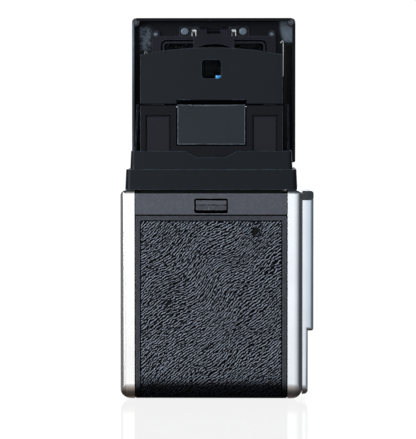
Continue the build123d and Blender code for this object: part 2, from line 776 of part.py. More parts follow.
def toothed_shaft(y, teeth, radius, first_tooth, shaft):
    """Gear on a vertical shaft beside the film exit."""
    with BuildPart() as turning:
        with BuildSketch(Plane((roller_x, y, gear_z[0]))):
            gear_outline(teeth, radius, first_tooth)
        extrude(amount=gear_z[1] - gear_z[0])
        rod("Z", (roller_x, y), shaft, shaft_radius)
    return turning


def film_roller(y, first_tooth):
    """Roller that spreads the developer, with its gear."""
    turning = toothed_shaft(y, roller_teeth, roller_gap / 2, first_tooth, (37.2, 106.6))
    with turning:
        rod("Z", (roller_x, y), (41.6, 98.4), roller_gap / 2 - 0.25)
    return turning


pieces["inner_film_roller"] = film_roller(roller_ys[0], 90)
pieces["outer_film_roller"] = film_roller(roller_ys[1], 90 + 180 / roller_teeth)
pieces["drive_gear"] = toothed_shaft(
    drive_y, drive_teeth, roller_gap / 2 * drive_teeth / roller_teeth,
    90 + 180 / drive_teeth, (98.6, 108.4),
)

frame_x = (46.2, 54.6)
frame_y = (-31.4, -4.0)
frame_z = (36.6, 106.2)
frame_step = (-15.0, 98.0)
frame_sheet = 1.2
bearing_plate = (2.0, 1.6)
motor_z = (106.4, 116.2)
motor_radius = 5.7

with BuildPart() as roller_frame:
    step_y, step_z = frame_step
    block(frame_x, (frame_y[0], step_y), (frame_z[0], frame_z[0] + bearing_plate[0]))
    block(frame_x, frame_y, (frame_z[1] - bearing_plate[1], frame_z[1]))
    block(frame_x, (frame_y[0] - frame_sheet, frame_y[0]), frame_z)
    block(frame_x, (step_y - frame_sheet, step_y), (frame_z[0], step_z))
    block(frame_x, (step_y - frame_sheet, frame_y[1]), (step_z - 1.4, step_z))
    block(frame_x, (frame_y[1] - 1.0, frame_y[1]), (step_z - 1.4, frame_z[1]))
    block((frame_x[0], 48.4), (-17.0, -15.4), (frame_z[0], step_z), Mode.SUBTRACT)
    for y in roller_ys:
        rod("Z", (roller_x, y), (36, 107), shaft_radius + 0.06, Mode.SUBTRACT)
    rod("Z", (roller_x, drive_y), (96, 107), shaft_radius + 0.06, Mode.SUBTRACT)
pieces["roller_frame"] = roller_frame

with BuildPart() as drive_motor:
    rod("Z", (roller_x, drive_y), motor_z, motor_radius)
    rod("Z", (roller_x, drive_y), (motor_z[0] - 0.1, 108.6), shaft_radius + 0.2, Mode.SUBTRACT)
    fillet(drive_motor.edges().filter_by(GeomType.CIRCLE).sort_by(Axis.Z)[-1], 0.6)
pieces["drive_motor"] = drive_motor

lug_place = (20.0, 117.4)
lug_radius = 1.4
lug_head_radius = 2.8

with BuildPart() as strap_lugs:
    for side in (-1, 1):
        near, far = body_half_width - 2.2, body_half_width + 1.2
        rod("X", lug_place, sorted((side * near, side * (far - 0.6))), lug_radius)
        rod("X", lug_place, sorted((side * (far - 0.7), side * far)), lug_head_radius)
    fillet(strap_lugs.edges().filter_by(GeomType.CIRCLE).group_by(Axis.X)[-1], 0.3)
pieces["strap_lugs"] = strap_lugs

for cover in (left_side_cover, right_side_cover):
    with cover:
        rod("X", lug_place, (-56, 56), lug_radius + 0.02, Mode.SUBTRACT)


# Hood base ring, skirt and hinge pins

lid_lug_x = (41.3, 46.3)
leaf_lug_x = (42.3, 44.1)
skirt_x = (ring_opening_x, 47.6)
skirt_y = (-41.1, 30.0)
skirt_top_z = 145.4
skirt_corner = 2.5
notch_z = 141.8
notch_half_widths = (9.0, 15.0)
hinge_lug_size = 2.5
panel_pin_hole = 0.9

with BuildPart() as hood_base_ring:
    with BuildSketch(Plane.XY.offset(ring_z[0])) as ring_outline:
        panel_outline(ring_outline, (-ring_half_width, ring_half_width), ring_y, (3, 3, 3, 3))
    extrude(amount=ring_z[1] - ring_z[0], taper=hood_taper)
    block((-60, 60), (ring_opening_y[1], 50), (133.2, 140), Mode.SUBTRACT)
    opening = (-ring_opening_x, ring_opening_x)
    block(opening, ring_opening_y, (screen_z - 1.7, 140), Mode.SUBTRACT)
    block((-31.5, 31.5), (screen_y[0] + 2, screen_y[1] - 2), (120, 130), Mode.SUBTRACT)
    both_sides(leaf_lug_x, (ring_opening_y[0] - 0.1, -36.9), (screen_z - 1.8, 132.2))
    lug_y_range = (lid_axis[0] - hinge_lug_size, lid_axis[0] + hinge_lug_size)
    both_sides(lid_lug_x, lug_y_range, (133.0, lid_axis[1]))
    for side in (-1, 1):
        lug = sorted((side * lid_lug_x[0], side * lid_lug_x[1]))
        rod("X", lid_axis, lug, hinge_lug_size)
        side_pin = (side * side_axis[0], side_axis[1])
        rod("Y", side_pin, (-43.0, 38.2), panel_pin_hole, Mode.SUBTRACT)
    rod("X", leaf_axis, (-44.2, 44.2), panel_pin_hole, Mode.SUBTRACT)
    rod("X", lid_axis, (-50, 50), pin_hole, Mode.SUBTRACT)
pieces["hood_base_ring"] = hood_base_ring

with BuildPart() as hood_skirt:
    with BuildSketch(Plane.XY.offset(ring_z[1])) as skirt_outline:
        across = (-skirt_x[1], skirt_x[1])
        panel_outline(skirt_outline, across, skirt_y, (skirt_corner, skirt_corner, 0, 0))
    extrude(amount=skirt_top_z - ring_z[1], taper=hood_taper)
    block((-skirt_x[0], skirt_x[0]), (skirt_y[0] + 1.2, 40), (130, 150), Mode.SUBTRACT)
    with BuildSketch(Plane.XZ.offset(50)):
        narrow, wide = notch_half_widths
        Polygon(
            (-narrow, notch_z), (narrow, notch_z), (wide, skirt_top_z), (wide, 150),
            (-wide, 150), (-wide, skirt_top_z), align=None,
        )
    extrude(amount=-20, mode=Mode.SUBTRACT)
pieces["hood_skirt"] = hood_skirt

with BuildPart() as hinge_pins:
    rod("X", lid_axis, (-46.2, 46.2), 1.0)
    rod("X", door_axis, (-44.0, 44.0), 1.0)
pieces["hinge_pins"] = hinge_pins


# Folding panels of the hood

pin_radius = 0.8
recess_x = (24.4, 38.2)
recess_z = (leaf_axis[1] + 3, 166.0)
recess_depth = 0.6
low_y = (leaf_axis[0] - leaf_thickness / 2, leaf_axis[0] + leaf_thickness / 2)

with BuildPart() as rear_panel_lower:
    block((-leaf_half_width, leaf_half_width), low_y, (leaf_axis[1], seam_z - 0.4))
    with BuildSketch(Plane.XZ.offset(-low_y[0])) as recesses:
        for across in (recess_x, (-recess_x[1], -recess_x[0])):
            panel_outline(recesses, across, recess_z, (0, 0, 1.6, 1.6))
    extrude(amount=-recess_depth, mode=Mode.SUBTRACT)
    rod("X", leaf_axis, (-43.8, 43.8), pin_radius)
pieces["rear_panel_lower"] = rear_panel_lower

plate_half_width = 19.7
plate_z = (149.3, seam_z - 0.2)
plate_front_y = low_y[0] - 0.8
plate_knuckle = 12.0
knuckle_size = 0.95
fold_pin_radius = 0.5

with BuildPart() as panel_hinge_plate:
    block((-plate_half_width, plate_half_width), (plate_front_y, low_y[0]), plate_z)
    across = (-plate_knuckle, plate_knuckle)
    rod("X", fold_axis, across, knuckle_size)
    block(across, (fold_axis[0], low_y[0]), (plate_z[1] - 0.4, fold_axis[1]))
    rod("X", fold_axis, (-13, 13), fold_pin_radius + 0.03, Mode.SUBTRACT)
pieces["panel_hinge_plate"] = panel_hinge_plate

arch_rise = 4.2
arch_top_z = 205.9
slot_half_width = 20.7
slot_top_z = 174.7
leaf_knuckle = (12.4, 19.5)

with BuildPart() as rear_panel_upper:
    with BuildSketch(Plane.XZ.offset(-low_y[1])) as leaf_outline:
        bottom_z = seam_z + 0.4
        with BuildLine():
            base = Line((-leaf_half_width, bottom_z), (leaf_half_width, bottom_z))
            right = Line(base @ 1, (leaf_half_width, arch_top_z - arch_rise))
            crown = ThreePointArc(right @ 1, (0, arch_top_z),
                                  (-leaf_half_width, arch_top_z - arch_rise))
            Line(crown @ 1, base @ 0)
        make_face()
        with Locations((0, peephole_z)):
            RectangleRounded(*peephole, 2.2, mode=Mode.SUBTRACT)
        with Locations((0, bottom_z)):
            Rectangle(2 * slot_half_width, 2 * (slot_top_z - bottom_z), mode=Mode.SUBTRACT)
    extrude(amount=leaf_thickness)
    for side in (-1, 1):
        knuckle = sorted((side * leaf_knuckle[0], side * leaf_knuckle[1]))
        rod("X", fold_axis, knuckle, knuckle_size)
        block(knuckle, (fold_axis[0], leaf_axis[0]), (fold_axis[1], slot_top_z + 0.7))
    rod("X", fold_axis, (-20.4, 20.4), fold_pin_radius)
pieces["rear_panel_upper"] = rear_panel_upper


def side_panel(side):
    """Side wall of the hood, cut at an angle so that the rear leaf folds down over it."""
    x, z = side_axis
    rear_foot = leaf_axis[0] + 1.7
    with BuildPart() as panel:
        with BuildSketch(Plane.YZ.offset(side * x - 0.5)):
            Polygon(
                (rear_foot, z), (28.0, z), (28.0, z + 36), (20.0, z + side_height),
                (rear_foot + side_height, z + side_height), align=None,
            )
        extrude(amount=1.0)
        rod("Y", (side * x, z), (-42.8, 38.0), pin_radius)
    return panel


pieces["side_panel_left"] = side_panel(-1)
pieces["side_panel_right"] = side_panel(1)


# Lid and magnifier

lid_inner_y = lid_y[1] - lid_wall
lid_knuckle_x = (33.0, 40.8)
rim_radius = 1.0
post_place = (lid_half_width - 2.4, lid_z[1] - 2.5)
post_radius = 2.7
post_y = lid_y[0] + 0.6
post_screw_radius = 1.5

with BuildPart() as lid_shell:
    with BuildSketch(Plane.XZ.offset(-lid_y[1])) as lid_outline:
        lid_x = (-lid_half_width, lid_half_width)
        panel_outline(lid_outline, lid_x, lid_z, (1.2, 1.2, 3.2, 3.2))
    extrude(amount=lid_y[1] - lid_y[0])
    fillet(lid_shell.faces().sort_by(Axis.Y)[-1].edges(), 1.4)
    fillet(lid_shell.faces().sort_by(Axis.Y)[0].edges(), rim_radius)
    inset_x = (1 - lid_half_width, lid_half_width - 1)
    inset_z = (lid_z[0] + 1, lid_z[1] - 1)
    inner_x = (-lid_half_width + lid_wall, lid_half_width - lid_wall)
    inner_z = (lid_z[0] + lid_wall, lid_z[1] - lid_wall)
    block(inner_x, (30, lid_inner_y), inner_z, Mode.SUBTRACT)
    both_sides((lid_lug_x[0] - 0.5, lid_lug_x[1] + 0.5), (30, 47.5), (134, 141.2), Mode.SUBTRACT)
    for side in (-1, 1):
        rod("X", lid_axis, sorted((side * lid_knuckle_x[0], side * lid_knuckle_x[1])), 2.2)
    with BuildSketch(Plane.XZ.offset(-lid_inner_y - 0.1)) as posts:
        with Locations(*((side * post_place[0], post_place[1]) for side in (-1, 1))):
            Circle(post_radius)
        with BuildSketch(mode=Mode.INTERSECT) as post_limit:
            panel_outline(post_limit, inset_x, inset_z, (0, 0, 2.2, 2.2))
    extrude(amount=lid_inner_y + 0.1 - post_y)
    for side in (-1, 1):
        rod("Y", (side * post_place[0], post_place[1]), (lid_y[0] - 1, post_y),
            post_screw_radius + 0.02, Mode.SUBTRACT)
    rod("X", lid_axis, (-47.2, 47.2), pin_hole + 0.04, Mode.SUBTRACT)
pieces["lid_shell"] = lid_shell

bracket_y = (lid_inner_y - 1.0, lid_inner_y)
bracket_x = (9.3, 21.6)
bracket_z = (214.6, 221.4)
bracket_screw = (18.0, 218.5)
bracket_screw_radius = 2.4
sleeve_x = (10.8, 13.8)
magnifier_pin_radius = 0.9

with BuildPart() as magnifier_bracket:
    both_sides(bracket_x, bracket_y, bracket_z)
    fillet(magnifier_bracket.edges().filter_by(Axis.Y), 0.8)
    both_sides((bracket_x[0], bracket_x[0] + 1.3), (46.4, bracket_y[1] - 0.1), (217.0, 221.0))
    rod("X", magnifier_axis, (-14.2, 14.2), magnifier_pin_radius)
pieces["magnifier_bracket"] = magnifier_bracket

with BuildPart() as magnifier_spring_sleeves:
    for side in (-1, 1):
        sleeve = sorted((side * sleeve_x[0], side * sleeve_x[1]))
        rod("X", magnifier_axis, sleeve, 1.55)
        rod("X", magnifier_axis, sleeve, magnifier_pin_radius + 0.02, Mode.SUBTRACT)
pieces["magnifier_spring_sleeves"] = magnifier_spring_sleeves

with BuildPart() as lid_screws:
    for side in (-1, 1):
        screws = (
            (bracket_screw, bracket_y[0], 0.6, bracket_screw_radius),
            (post_place, post_y, 0.4, post_screw_radius),
        )
        for (x, z), seat, head, radius in screws:
            rod("Y", (side * x, z), (seat - head, seat), radius)
pieces["lid_screws"] = lid_screws

frame_half_width = 38.0
magnifier_y = (46.8, 49.2)
magnifier_z = (170.0, 215.6)
ear_x = (33.4, frame_half_width)
ear_top_z = 219.0
ear_boss = (35.8, 216.6, 1.7)
groove_window = ((-32.8, 32.8), (172.8, 213.2))
rim_window = ((-31.7, 31.7), (173.9, 212.1))
lens_window = ((-30.7, 30.7), (174.9, 211.1))
lens_corner = 1.8
lens_rear_y = 47.6
lens_rim_y = 49.0
lens_ball = 252.1
hub_half_width = 9.0
hub_rear_y = 45.8
hub_skirt_half_width = 12.6
hub_window = (4.3, 216.7)
arch_chord = (11.6, 208.1, 210.7)

with BuildPart() as magnifier_frame:
    with BuildSketch(Plane.XZ.offset(-magnifier_y[1])) as frame_outline:
        panel_outline(frame_outline, (-frame_half_width, frame_half_width), magnifier_z,
                      (3, 3, 0, 0))
        for across in (ear_x, (-ear_x[1], -ear_x[0])):
            ear_z = (magnifier_z[1] - 2, ear_top_z)
            panel_outline(frame_outline, across, ear_z, (0, 0, 2, 2))
    extrude(amount=magnifier_y[1] - magnifier_y[0])
    for window, corner, span, mode in (
        (groove_window, 3.4, (magnifier_y[0] - 1, magnifier_y[0] + 1.4), Mode.SUBTRACT),
        (rim_window, 2.6, (magnifier_y[0] + 0.5, magnifier_y[1]), Mode.ADD),
        (lens_window, lens_corner, (magnifier_y[0] - 1, magnifier_y[1] + 1), Mode.SUBTRACT),
    ):
        with BuildSketch(Plane.XZ.offset(-span[1])) as opening_outline:
            panel_outline(opening_outline, *window, (corner,) * 4)
        extrude(amount=span[1] - span[0], mode=mode)
    for side in (-1, 1):
        x, z, radius = ear_boss
        rod("Y", (side * x, z), (magnifier_y[0] - 0.3, magnifier_y[0] + 0.1), radius)
    with BuildSketch(Plane.XZ.offset(-lens_rear_y)):
        reach, foot_z, crown_z = arch_chord
        shoulder = hub_skirt_half_width
        with BuildLine():
            arc = ThreePointArc((-reach, foot_z), (0, crown_z), (reach, foot_z))
            Polyline(arc @ 1, (shoulder, foot_z), (shoulder, 214.6), (hub_half_width, 216.4),
                     (hub_half_width, magnifier_axis[1]), (-hub_half_width, magnifier_axis[1]),
                     (-hub_half_width, 216.4), (-shoulder, 214.6), (-shoulder, foot_z), arc @ 0)
        make_face()
    extrude(amount=lens_rear_y - hub_rear_y)
    hub_radius = magnifier_axis[0] - hub_rear_y
    rod("X", magnifier_axis, (-hub_half_width, hub_half_width), hub_radius)
    block((-hub_window[0], hub_window[0]), (42, 51), (hub_window[1], 222), Mode.SUBTRACT)
    rod("X", magnifier_axis, (-10, 10), magnifier_pin_radius + 0.1, Mode.SUBTRACT)
pieces["magnifier_frame"] = magnifier_frame

with BuildPart() as magnifier_lens:
    with BuildSketch(Plane.XZ.offset(-lens_rim_y)) as lens_outline:
        panel_outline(lens_outline, *lens_window, (lens_corner,) * 4)
    extrude(amount=lens_rim_y - lens_rear_y)
    with BuildPart(mode=Mode.PRIVATE) as bulge:
        with Locations((0, lens_rim_y + 1.2 - lens_ball, middle(lens_window[1]))):
            Sphere(lens_ball)
        with BuildSketch(Plane.XZ.offset(-lens_rim_y - 2)) as bulge_outline:
            panel_outline(bulge_outline, *lens_window, (lens_corner,) * 4)
        extrude(amount=2.1, mode=Mode.INTERSECT)
    add(bulge.part)
pieces["magnifier_lens"] = magnifier_lens


os.makedirs("parts", exist_ok=True)
for label, piece in pieces.items():
    piece.part.label = label
    export_step(piece.part, f"parts/{label}.step")
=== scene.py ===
import math

import bmesh
import bpy
from mathutils import Matrix, Vector, noise


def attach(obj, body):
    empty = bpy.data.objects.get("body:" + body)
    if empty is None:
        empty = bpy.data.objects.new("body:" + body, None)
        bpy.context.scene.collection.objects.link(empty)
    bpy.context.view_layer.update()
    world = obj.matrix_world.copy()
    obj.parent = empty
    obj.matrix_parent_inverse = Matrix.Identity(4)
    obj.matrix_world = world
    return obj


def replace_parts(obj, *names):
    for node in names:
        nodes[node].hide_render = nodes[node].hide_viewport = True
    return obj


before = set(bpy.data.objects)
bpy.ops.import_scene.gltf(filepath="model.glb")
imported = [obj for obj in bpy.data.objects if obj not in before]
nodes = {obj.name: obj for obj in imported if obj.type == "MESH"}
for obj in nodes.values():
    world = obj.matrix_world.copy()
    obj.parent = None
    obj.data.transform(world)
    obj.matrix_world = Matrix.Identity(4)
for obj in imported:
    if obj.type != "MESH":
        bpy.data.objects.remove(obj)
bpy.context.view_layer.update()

# Twin lens reflex instant camera, seen from behind with its hood open.
# Lengths are written in millimetres and scaled to metres where a mesh is made.

MM = 0.001

# Places that both a finish and a piece need
pocket_z = 113.4
door_gap_z = 108.0
leaf_rear_y = -38.3
window_x, window_z, window_radius = 26.2, 98.0, 2.02


# Shader maths: a signal is one socket, and arithmetic on it adds nodes


class Signal:
    """A value or colour on its way through one tree of shader nodes."""

    def __init__(self, tree, socket):
        self.tree, self.socket = tree, socket

    def math(self, operation, *values):
        return self.tree.node(
            "ShaderNodeMath", {"operation": operation}, dict(enumerate(values))
        )

    def __add__(self, other):
        return self.math("ADD", self, other)

    __radd__ = __add__

    def __sub__(self, other):
        return self.math("SUBTRACT", self, other)

    def __rsub__(self, other):
        return self.math("SUBTRACT", other, self)

    def __mul__(self, other):
        return self.math("MULTIPLY", self, other)

    def __truediv__(self, other):
        return self.math("DIVIDE", self, other)

    def __abs__(self):
        return self.math("ABSOLUTE", self)

    def least(self, other):
        return self.math("MINIMUM", self, other)

    def most(self, other):
        return self.math("MAXIMUM", self, other)

    def fraction(self):
        return self.math("FRACT", self)

    def rise(self, low, high, to_low=0.0, to_high=1.0):
        """Soft step from to_low to to_high while the signal goes from low to high."""
        settings = {"interpolation_type": "SMOOTHSTEP", "clamp": True}
        span = {1: low, 2: high, 3: to_low, 4: to_high}
        return self.tree.node("ShaderNodeMapRange", settings, {0: self, **span})

    def output(self, name):
        return Signal(self.tree, self.socket.node.outputs[name])


def tone(code):
    """Linear colour of a hexadecimal screen colour."""
    parts = [int(code[i:i + 2], 16) / 255 for i in (0, 2, 4)]
    return tuple(
        p / 12.92 if p <= 0.04045 else ((p + 0.055) / 1.055) ** 2.4 for p in parts
    ) + (1.0,)


class Tree:
    """Shader nodes of a material or of the world."""

    def __init__(self, owner, output_kind):
        owner.use_nodes = True
        self.nodes, self.links = owner.node_tree.nodes, owner.node_tree.links
        self.nodes.clear()
        self.surface = self.nodes.new(output_kind).inputs["Surface"]

    def node(self, kind, settings, values, output=0):
        """Signal of a new node: settings are its properties, and values go into its inputs."""
        made = self.nodes.new(kind)
        for name, value in settings.items():
            setattr(made, name, value)
        for name, value in values.items():
            if isinstance(value, Signal):
                self.links.new(value.socket, made.inputs[name])
            else:
                made.inputs[name].default_value = value
        return Signal(self, made.outputs[output])

    def mix(self, factor, low, high):
        """Colour that goes from low to high with the factor."""
        values = {0: factor, 6: low, 7: high}
        return self.node("ShaderNodeMix", {"data_type": "RGBA"}, values, 2)

    def end(self, shader):
        """Takes a shader as the surface."""
        self.links.new(shader.socket, self.surface)


class Finish(Tree):
    """A procedural surface, in the frame's own coordinates. The place is in metres, and
    x, y and z are in millimetres."""

    def __init__(self, name):
        self.material = bpy.data.materials.new(name)
        super().__init__(self.material, "ShaderNodeOutputMaterial")
        self.place = self.node("ShaderNodeTexCoord", {}, {}, "Object")
        split = self.node("ShaderNodeSeparateXYZ", {}, {0: self.place})
        self.x, self.y, self.z = (split.output(axis) / MM for axis in "XYZ")

    def stretched(self, scale, turn=(0, 0, 0)):
        """The place, turned and then stretched along the axes."""
        turned = self.node("ShaderNodeMapping", {}, {0: self.place, "Rotation": turn})
        return self.node("ShaderNodeMapping", {}, {0: turned, "Scale": scale})

    def grain(self, per_mm, detail, place=None, rough=0.5):
        """Cloudy noise with that many lumps to a millimetre."""
        values = {"Vector": place or self.place, "Scale": per_mm / MM,
                  "Detail": detail, "Roughness": rough}
        return self.node("ShaderNodeTexNoise", {}, values)

    def cells(self, per_mm, feature="F1", place=None):
        """Distance to the nearest of that many points to a millimetre."""
        values = {"Vector": place or self.place, "Scale": per_mm / MM}
        return self.node("ShaderNodeTexVoronoi", {"feature": feature}, values, "Distance")

    def rounded(self, radius_mm):
        """Normal that rolls over the edges."""
        return self.node("ShaderNodeBevel", {"samples": 6}, {"Radius": radius_mm * MM})

    def edge(self, radius_mm):
        """Near 1 on an edge that sticks out or in, 0 on a flat."""
        face = self.node("ShaderNodeNewGeometry", {}, {}, "Normal")
        rolled = self.rounded(radius_mm)
        dot = self.node("ShaderNodeVectorMath", {"operation": "DOT_PRODUCT"},
                        {0: face, 1: rolled}, "Value")
        return (1 - dot).rise(0.004, 0.12)

    def relief(self, height, depth_mm, normal=None):
        """Normal bumped by a height, which is depth_mm where it is 1."""
        values = {"Height": height, "Strength": 1.0, "Distance": depth_mm * MM}
        if normal:
            values["Normal"] = normal
        return self.node("ShaderNodeBump", {}, values)

    def shade(self, painted_shade=None, **values):
        """Finishes the material with a Principled shader. Keys are socket names.
        Where the painted shade is 1 the surface is dead black: painted shade, as dark as the
        inside of a gap."""
        values = {name.replace("_", " "): value for name, value in values.items()}
        shader = self.node("ShaderNodeBsdfPrincipled", {}, values, "BSDF")
        if painted_shade:
            dead = self.node("ShaderNodeBsdfDiffuse", {}, {"Color": tone("030304")})
            shader = self.node("ShaderNodeMixShader", {}, {0: painted_shade, 1: shader, 2: dead})
        self.end(shader)
        return self


# Finishes


def smudges(f, per_mm=0.03):
    """Broad soft marks, as hands leave them."""
    return f.grain(per_mm, 4.0, rough=0.6).rise(0.35, 0.7)


def silver_finish():
    """Satin metal of the covers, with painted reflections in its colour: brown towards the foot,
    bluish towards the right and on the right flank's housing, and grey on the rear corners."""
    f = Finish("satin_silver")
    fine = f.grain(5.0, 2.0)
    streak = f.grain(0.9, 3.0, f.stretched((1.0, 1.0, 0.05)))
    rubbed = f.edge(0.8) * f.grain(0.4, 3.0).rise(0.3, 0.6)
    foot = f.z.rise(0.5, 8.0, 1.0, 0.0)
    base = f.mix(fine * 0.5 + streak * 0.5, tone("e6e6e5"), tone("f4f4f3"))
    base = f.mix(smudges(f) * 0.2, base, tone("cfcfcc"))
    base = f.mix(rubbed * 0.4, base, tone("f4f4f2"))
    # Painted reflection: brown and darker towards the foot.
    base = f.mix(foot * 0.6, base, tone("9c8678"))
    # Painted shade: bluer and darker towards the right flank and its housing.
    base = f.mix(f.x.rise(40, 46) * 0.4, base, tone("ccd9e6"))
    base = f.mix(f.x.rise(52, 59) * 0.95, base, tone("b0bbc7"))
    # Painted reflection: grey on the rounded rear corners, as if they mirrored dark surroundings.
    rear = f.y.rise(-43, -45)
    right_corner = f.x.rise(47.8, 52.2) * f.x.rise(53.6, 53.4)
    left_corner = f.x.rise(-49.2, -50.6)
    base = f.mix(right_corner * rear, base, tone("8c9096"))
    base = f.mix(left_corner * rear * 0.5, base, tone("8a898a"))
    return f.shade(
        Base_Color=base,
        Metallic=1.0,
        Roughness=0.24 + fine * 0.06 + smudges(f) * 0.05 - rubbed * 0.06,
        Normal=f.relief(fine + streak * 0.6, 0.006, f.rounded(0.3)),
    )


def pocket_shadow(f):
    """1 on the floor and the walls of the catch's pocket, which reaches 3.8 mm up and down
    and 9.3 mm out from its middle."""
    up, out = abs(f.z - pocket_z), abs(f.x)
    sunk = f.y.rise(-46.95, -46.9)
    floor = f.y.rise(-46.26, -46.2)
    walls = (sunk * up.rise(3.8, 3.9)).most(sunk * out.rise(9.3, 9.4))
    return floor.most(walls) * out.rise(10.0, 9.95) * up.rise(4.6, 4.5)


def dark_metal_finish(name, low, high, level, edge_wear_and_highlight):
    """Dark satin metal with painted shade: dead black in the pocket, in the gap above the door and
    towards the foot.
    """
    f = Finish(name)
    fine = f.grain(3.5, 3.0)
    cloud = smudges(f, 0.05)
    worn_and_highlit = f.edge(0.5) * f.grain(0.6, 3.0).rise(0.3, 0.6)
    # Painted shade: dead black in the gap above the door and towards the foot.
    gap = abs(f.z - door_gap_z).rise(0.6, 0.35) * 0.9
    foot = f.z.rise(13.5, 5.0) * 0.95
    grit = f.grain(0.8, 4.0, rough=0.7).rise(0.35, 0.65)
    base = f.mix(fine * 0.4 + grit * 0.6, tone(low), tone(high))
    base = f.mix(cloud * 0.3, base, tone(high))
    # Rubbed edges, lighter: partly wear and partly painted highlight.
    base = f.mix(worn_and_highlit * edge_wear_and_highlight, base, tone("8b919b"))
    return f.shade(
        painted_shade=pocket_shadow(f).most(gap).most(foot),
        Base_Color=base,
        Roughness=0.42 + fine * 0.1 + cloud * 0.06,
        Specular_IOR_Level=level,
        Normal=f.relief(fine, 0.012, f.rounded(0.2)),
    )


def recess_floor(f):
    """1 on the sunk floors of the lower leaf's two recesses."""
    sunk = f.y.rise(-38.45, -38.1) * f.y.rise(-37.6, -37.9)
    return sunk * f.z.rise(167, 166) * f.z.rise(133, 134)


def past_rectangle(f, middle, half):
    """Millimetres outside an upright rectangle, which is there on the left and on the right."""
    across = abs(abs(f.x) - middle[0]) - half[0]
    return across.most(abs(f.z - middle[1]) - half[1])


def leaf_shadow(f):
    """1 in the gaps of the hood: the slot between the leaves, the dark lines round the lower
    leaf's plate and recesses, and the groove of the magnifier's frame."""
    out = abs(f.x)
    plate = past_rectangle(f, (0.0, 160.8), (19.7, 11.5))
    recess = past_rectangle(f, (31.3, 149.8), (6.9, 16.2))
    seam = abs(f.z - 172.55).rise(0.8, 0.6) * out.rise(20.6, 20.8)
    lines = plate.rise(1.1, 0.7) * plate.rise(-0.05, 0.0)
    lines = lines.most(abs(recess).rise(0.7, 0.3) * 0.8).most(seam * 0.9)
    lines = lines * abs(f.y - leaf_rear_y).rise(0.4, 0.35) * f.z.rise(133, 134)
    slot = out.rise(20.9, 20.7) * abs(f.z - 173.9).rise(1.5, 1.3) * f.y.rise(-37.2, -37.3)
    groove = f.y.rise(47.4, 47.9) * f.y.rise(48.8, 48.4) * f.z.rise(168, 170) * 0.95
    return slot.most(lines).most(groove)


def paint_finish(name, low, high, level, edge_wear_and_highlight_tone, edge_wear_and_highlight, roughness):
    """Black paint or moulding with fine tooth and dust, lighter rubbed edges that are partly
    painted highlight, and painted shade in the hood's gaps.
    """
    f = Finish(name)
    tooth = f.grain(4.0, 2.0)
    cloud = smudges(f, 0.04)
    dust = f.cells(0.9).rise(0.10, 0.03) * f.grain(0.05, 2.0).rise(0.5, 0.65)
    worn_and_highlit = f.edge(0.6) * f.grain(0.5, 4.0).rise(0.25, 0.6)
    base = f.mix(tooth * 0.6 + cloud * 0.4, tone(low), tone(high))
    base = f.mix(recess_floor(f) * 0.7, base, tone("202027"))
    # Rubbed edges, lighter: partly wear and partly painted highlight.
    base = f.mix(worn_and_highlit * edge_wear_and_highlight, base, tone(edge_wear_and_highlight_tone))
    base = f.mix(dust * 0.25, base, tone("6a6f74"))
    # Painted shade: dead black in the hood's gaps and outlines, from leaf_shadow.
    return f.shade(
        painted_shade=leaf_shadow(f),
        Base_Color=base,
        Roughness=roughness + tooth * 0.08 - cloud * 0.07 + dust * 0.1,
        Specular_IOR_Level=level,
        Specular_Tint=tone("e8f3ff"),
        Normal=f.relief(tooth, 0.010, f.rounded(0.22)),
    )


def lid_finish():
    """Hood paint with mottled patches of painted light, rougher, in the two top corners of the
    tray and a painted highlight on the left rim, brighter towards the top.
    """
    f = Finish("hood_tray_paint")
    tooth = f.grain(4.0, 2.0)
    mottle = f.grain(0.5, 6.0, rough=0.75)
    # Painted light: lighter mottled patches on the tray floor in its two top corners.
    left = f.x.rise(-46.8, -45) * f.x.rise(-37.5, -41)
    left = left * f.z.rise(204, 210) * f.z.rise(223.5, 219)
    right = (f.x + f.z * 0.35).rise(116.0, 119.5) * f.x.rise(39.8, 42)
    right = right * f.z.rise(211, 213)
    floor_only = f.y.rise(49.8, 50.4) * f.y.rise(51.4, 51.0)
    painted_light_patch = left * mottle.rise(0.38, 0.6) + right * mottle.rise(0.1, 0.6)
    painted_light_patch = painted_light_patch.least(1.0) * floor_only
    # Painted highlight on the left rim, brighter towards the top.
    rim = f.x.rise(-48.6, -49.6) * f.z.rise(168, 214, 0.25, 1.0)
    rim = rim * f.y.rise(44, 40) * mottle.rise(0.2, 0.7, 0.6, 1.0)
    worn_and_highlit = f.edge(0.45) * f.grain(0.5, 4.0).rise(0.25, 0.6)
    base = f.mix(tooth, tone("060708"), tone("0b0c0f"))
    base = f.mix(painted_light_patch, base, tone("66727f"))
    # Rubbed edges, lighter: partly wear and partly painted highlight.
    base = f.mix(worn_and_highlit * 0.2, base, tone("3b454e"))
    base = f.mix(rim * 0.8, base, tone("6e7b88"))
    return f.shade(
        Base_Color=base,
        Roughness=0.34 + tooth * 0.08 + painted_light_patch * 0.2,
        Specular_IOR_Level=0.10,
        Specular_Tint=tone("dcebff"),
        Normal=f.relief(tooth + painted_light_patch * mottle * 3.0, 0.012, f.rounded(0.25)),
    )


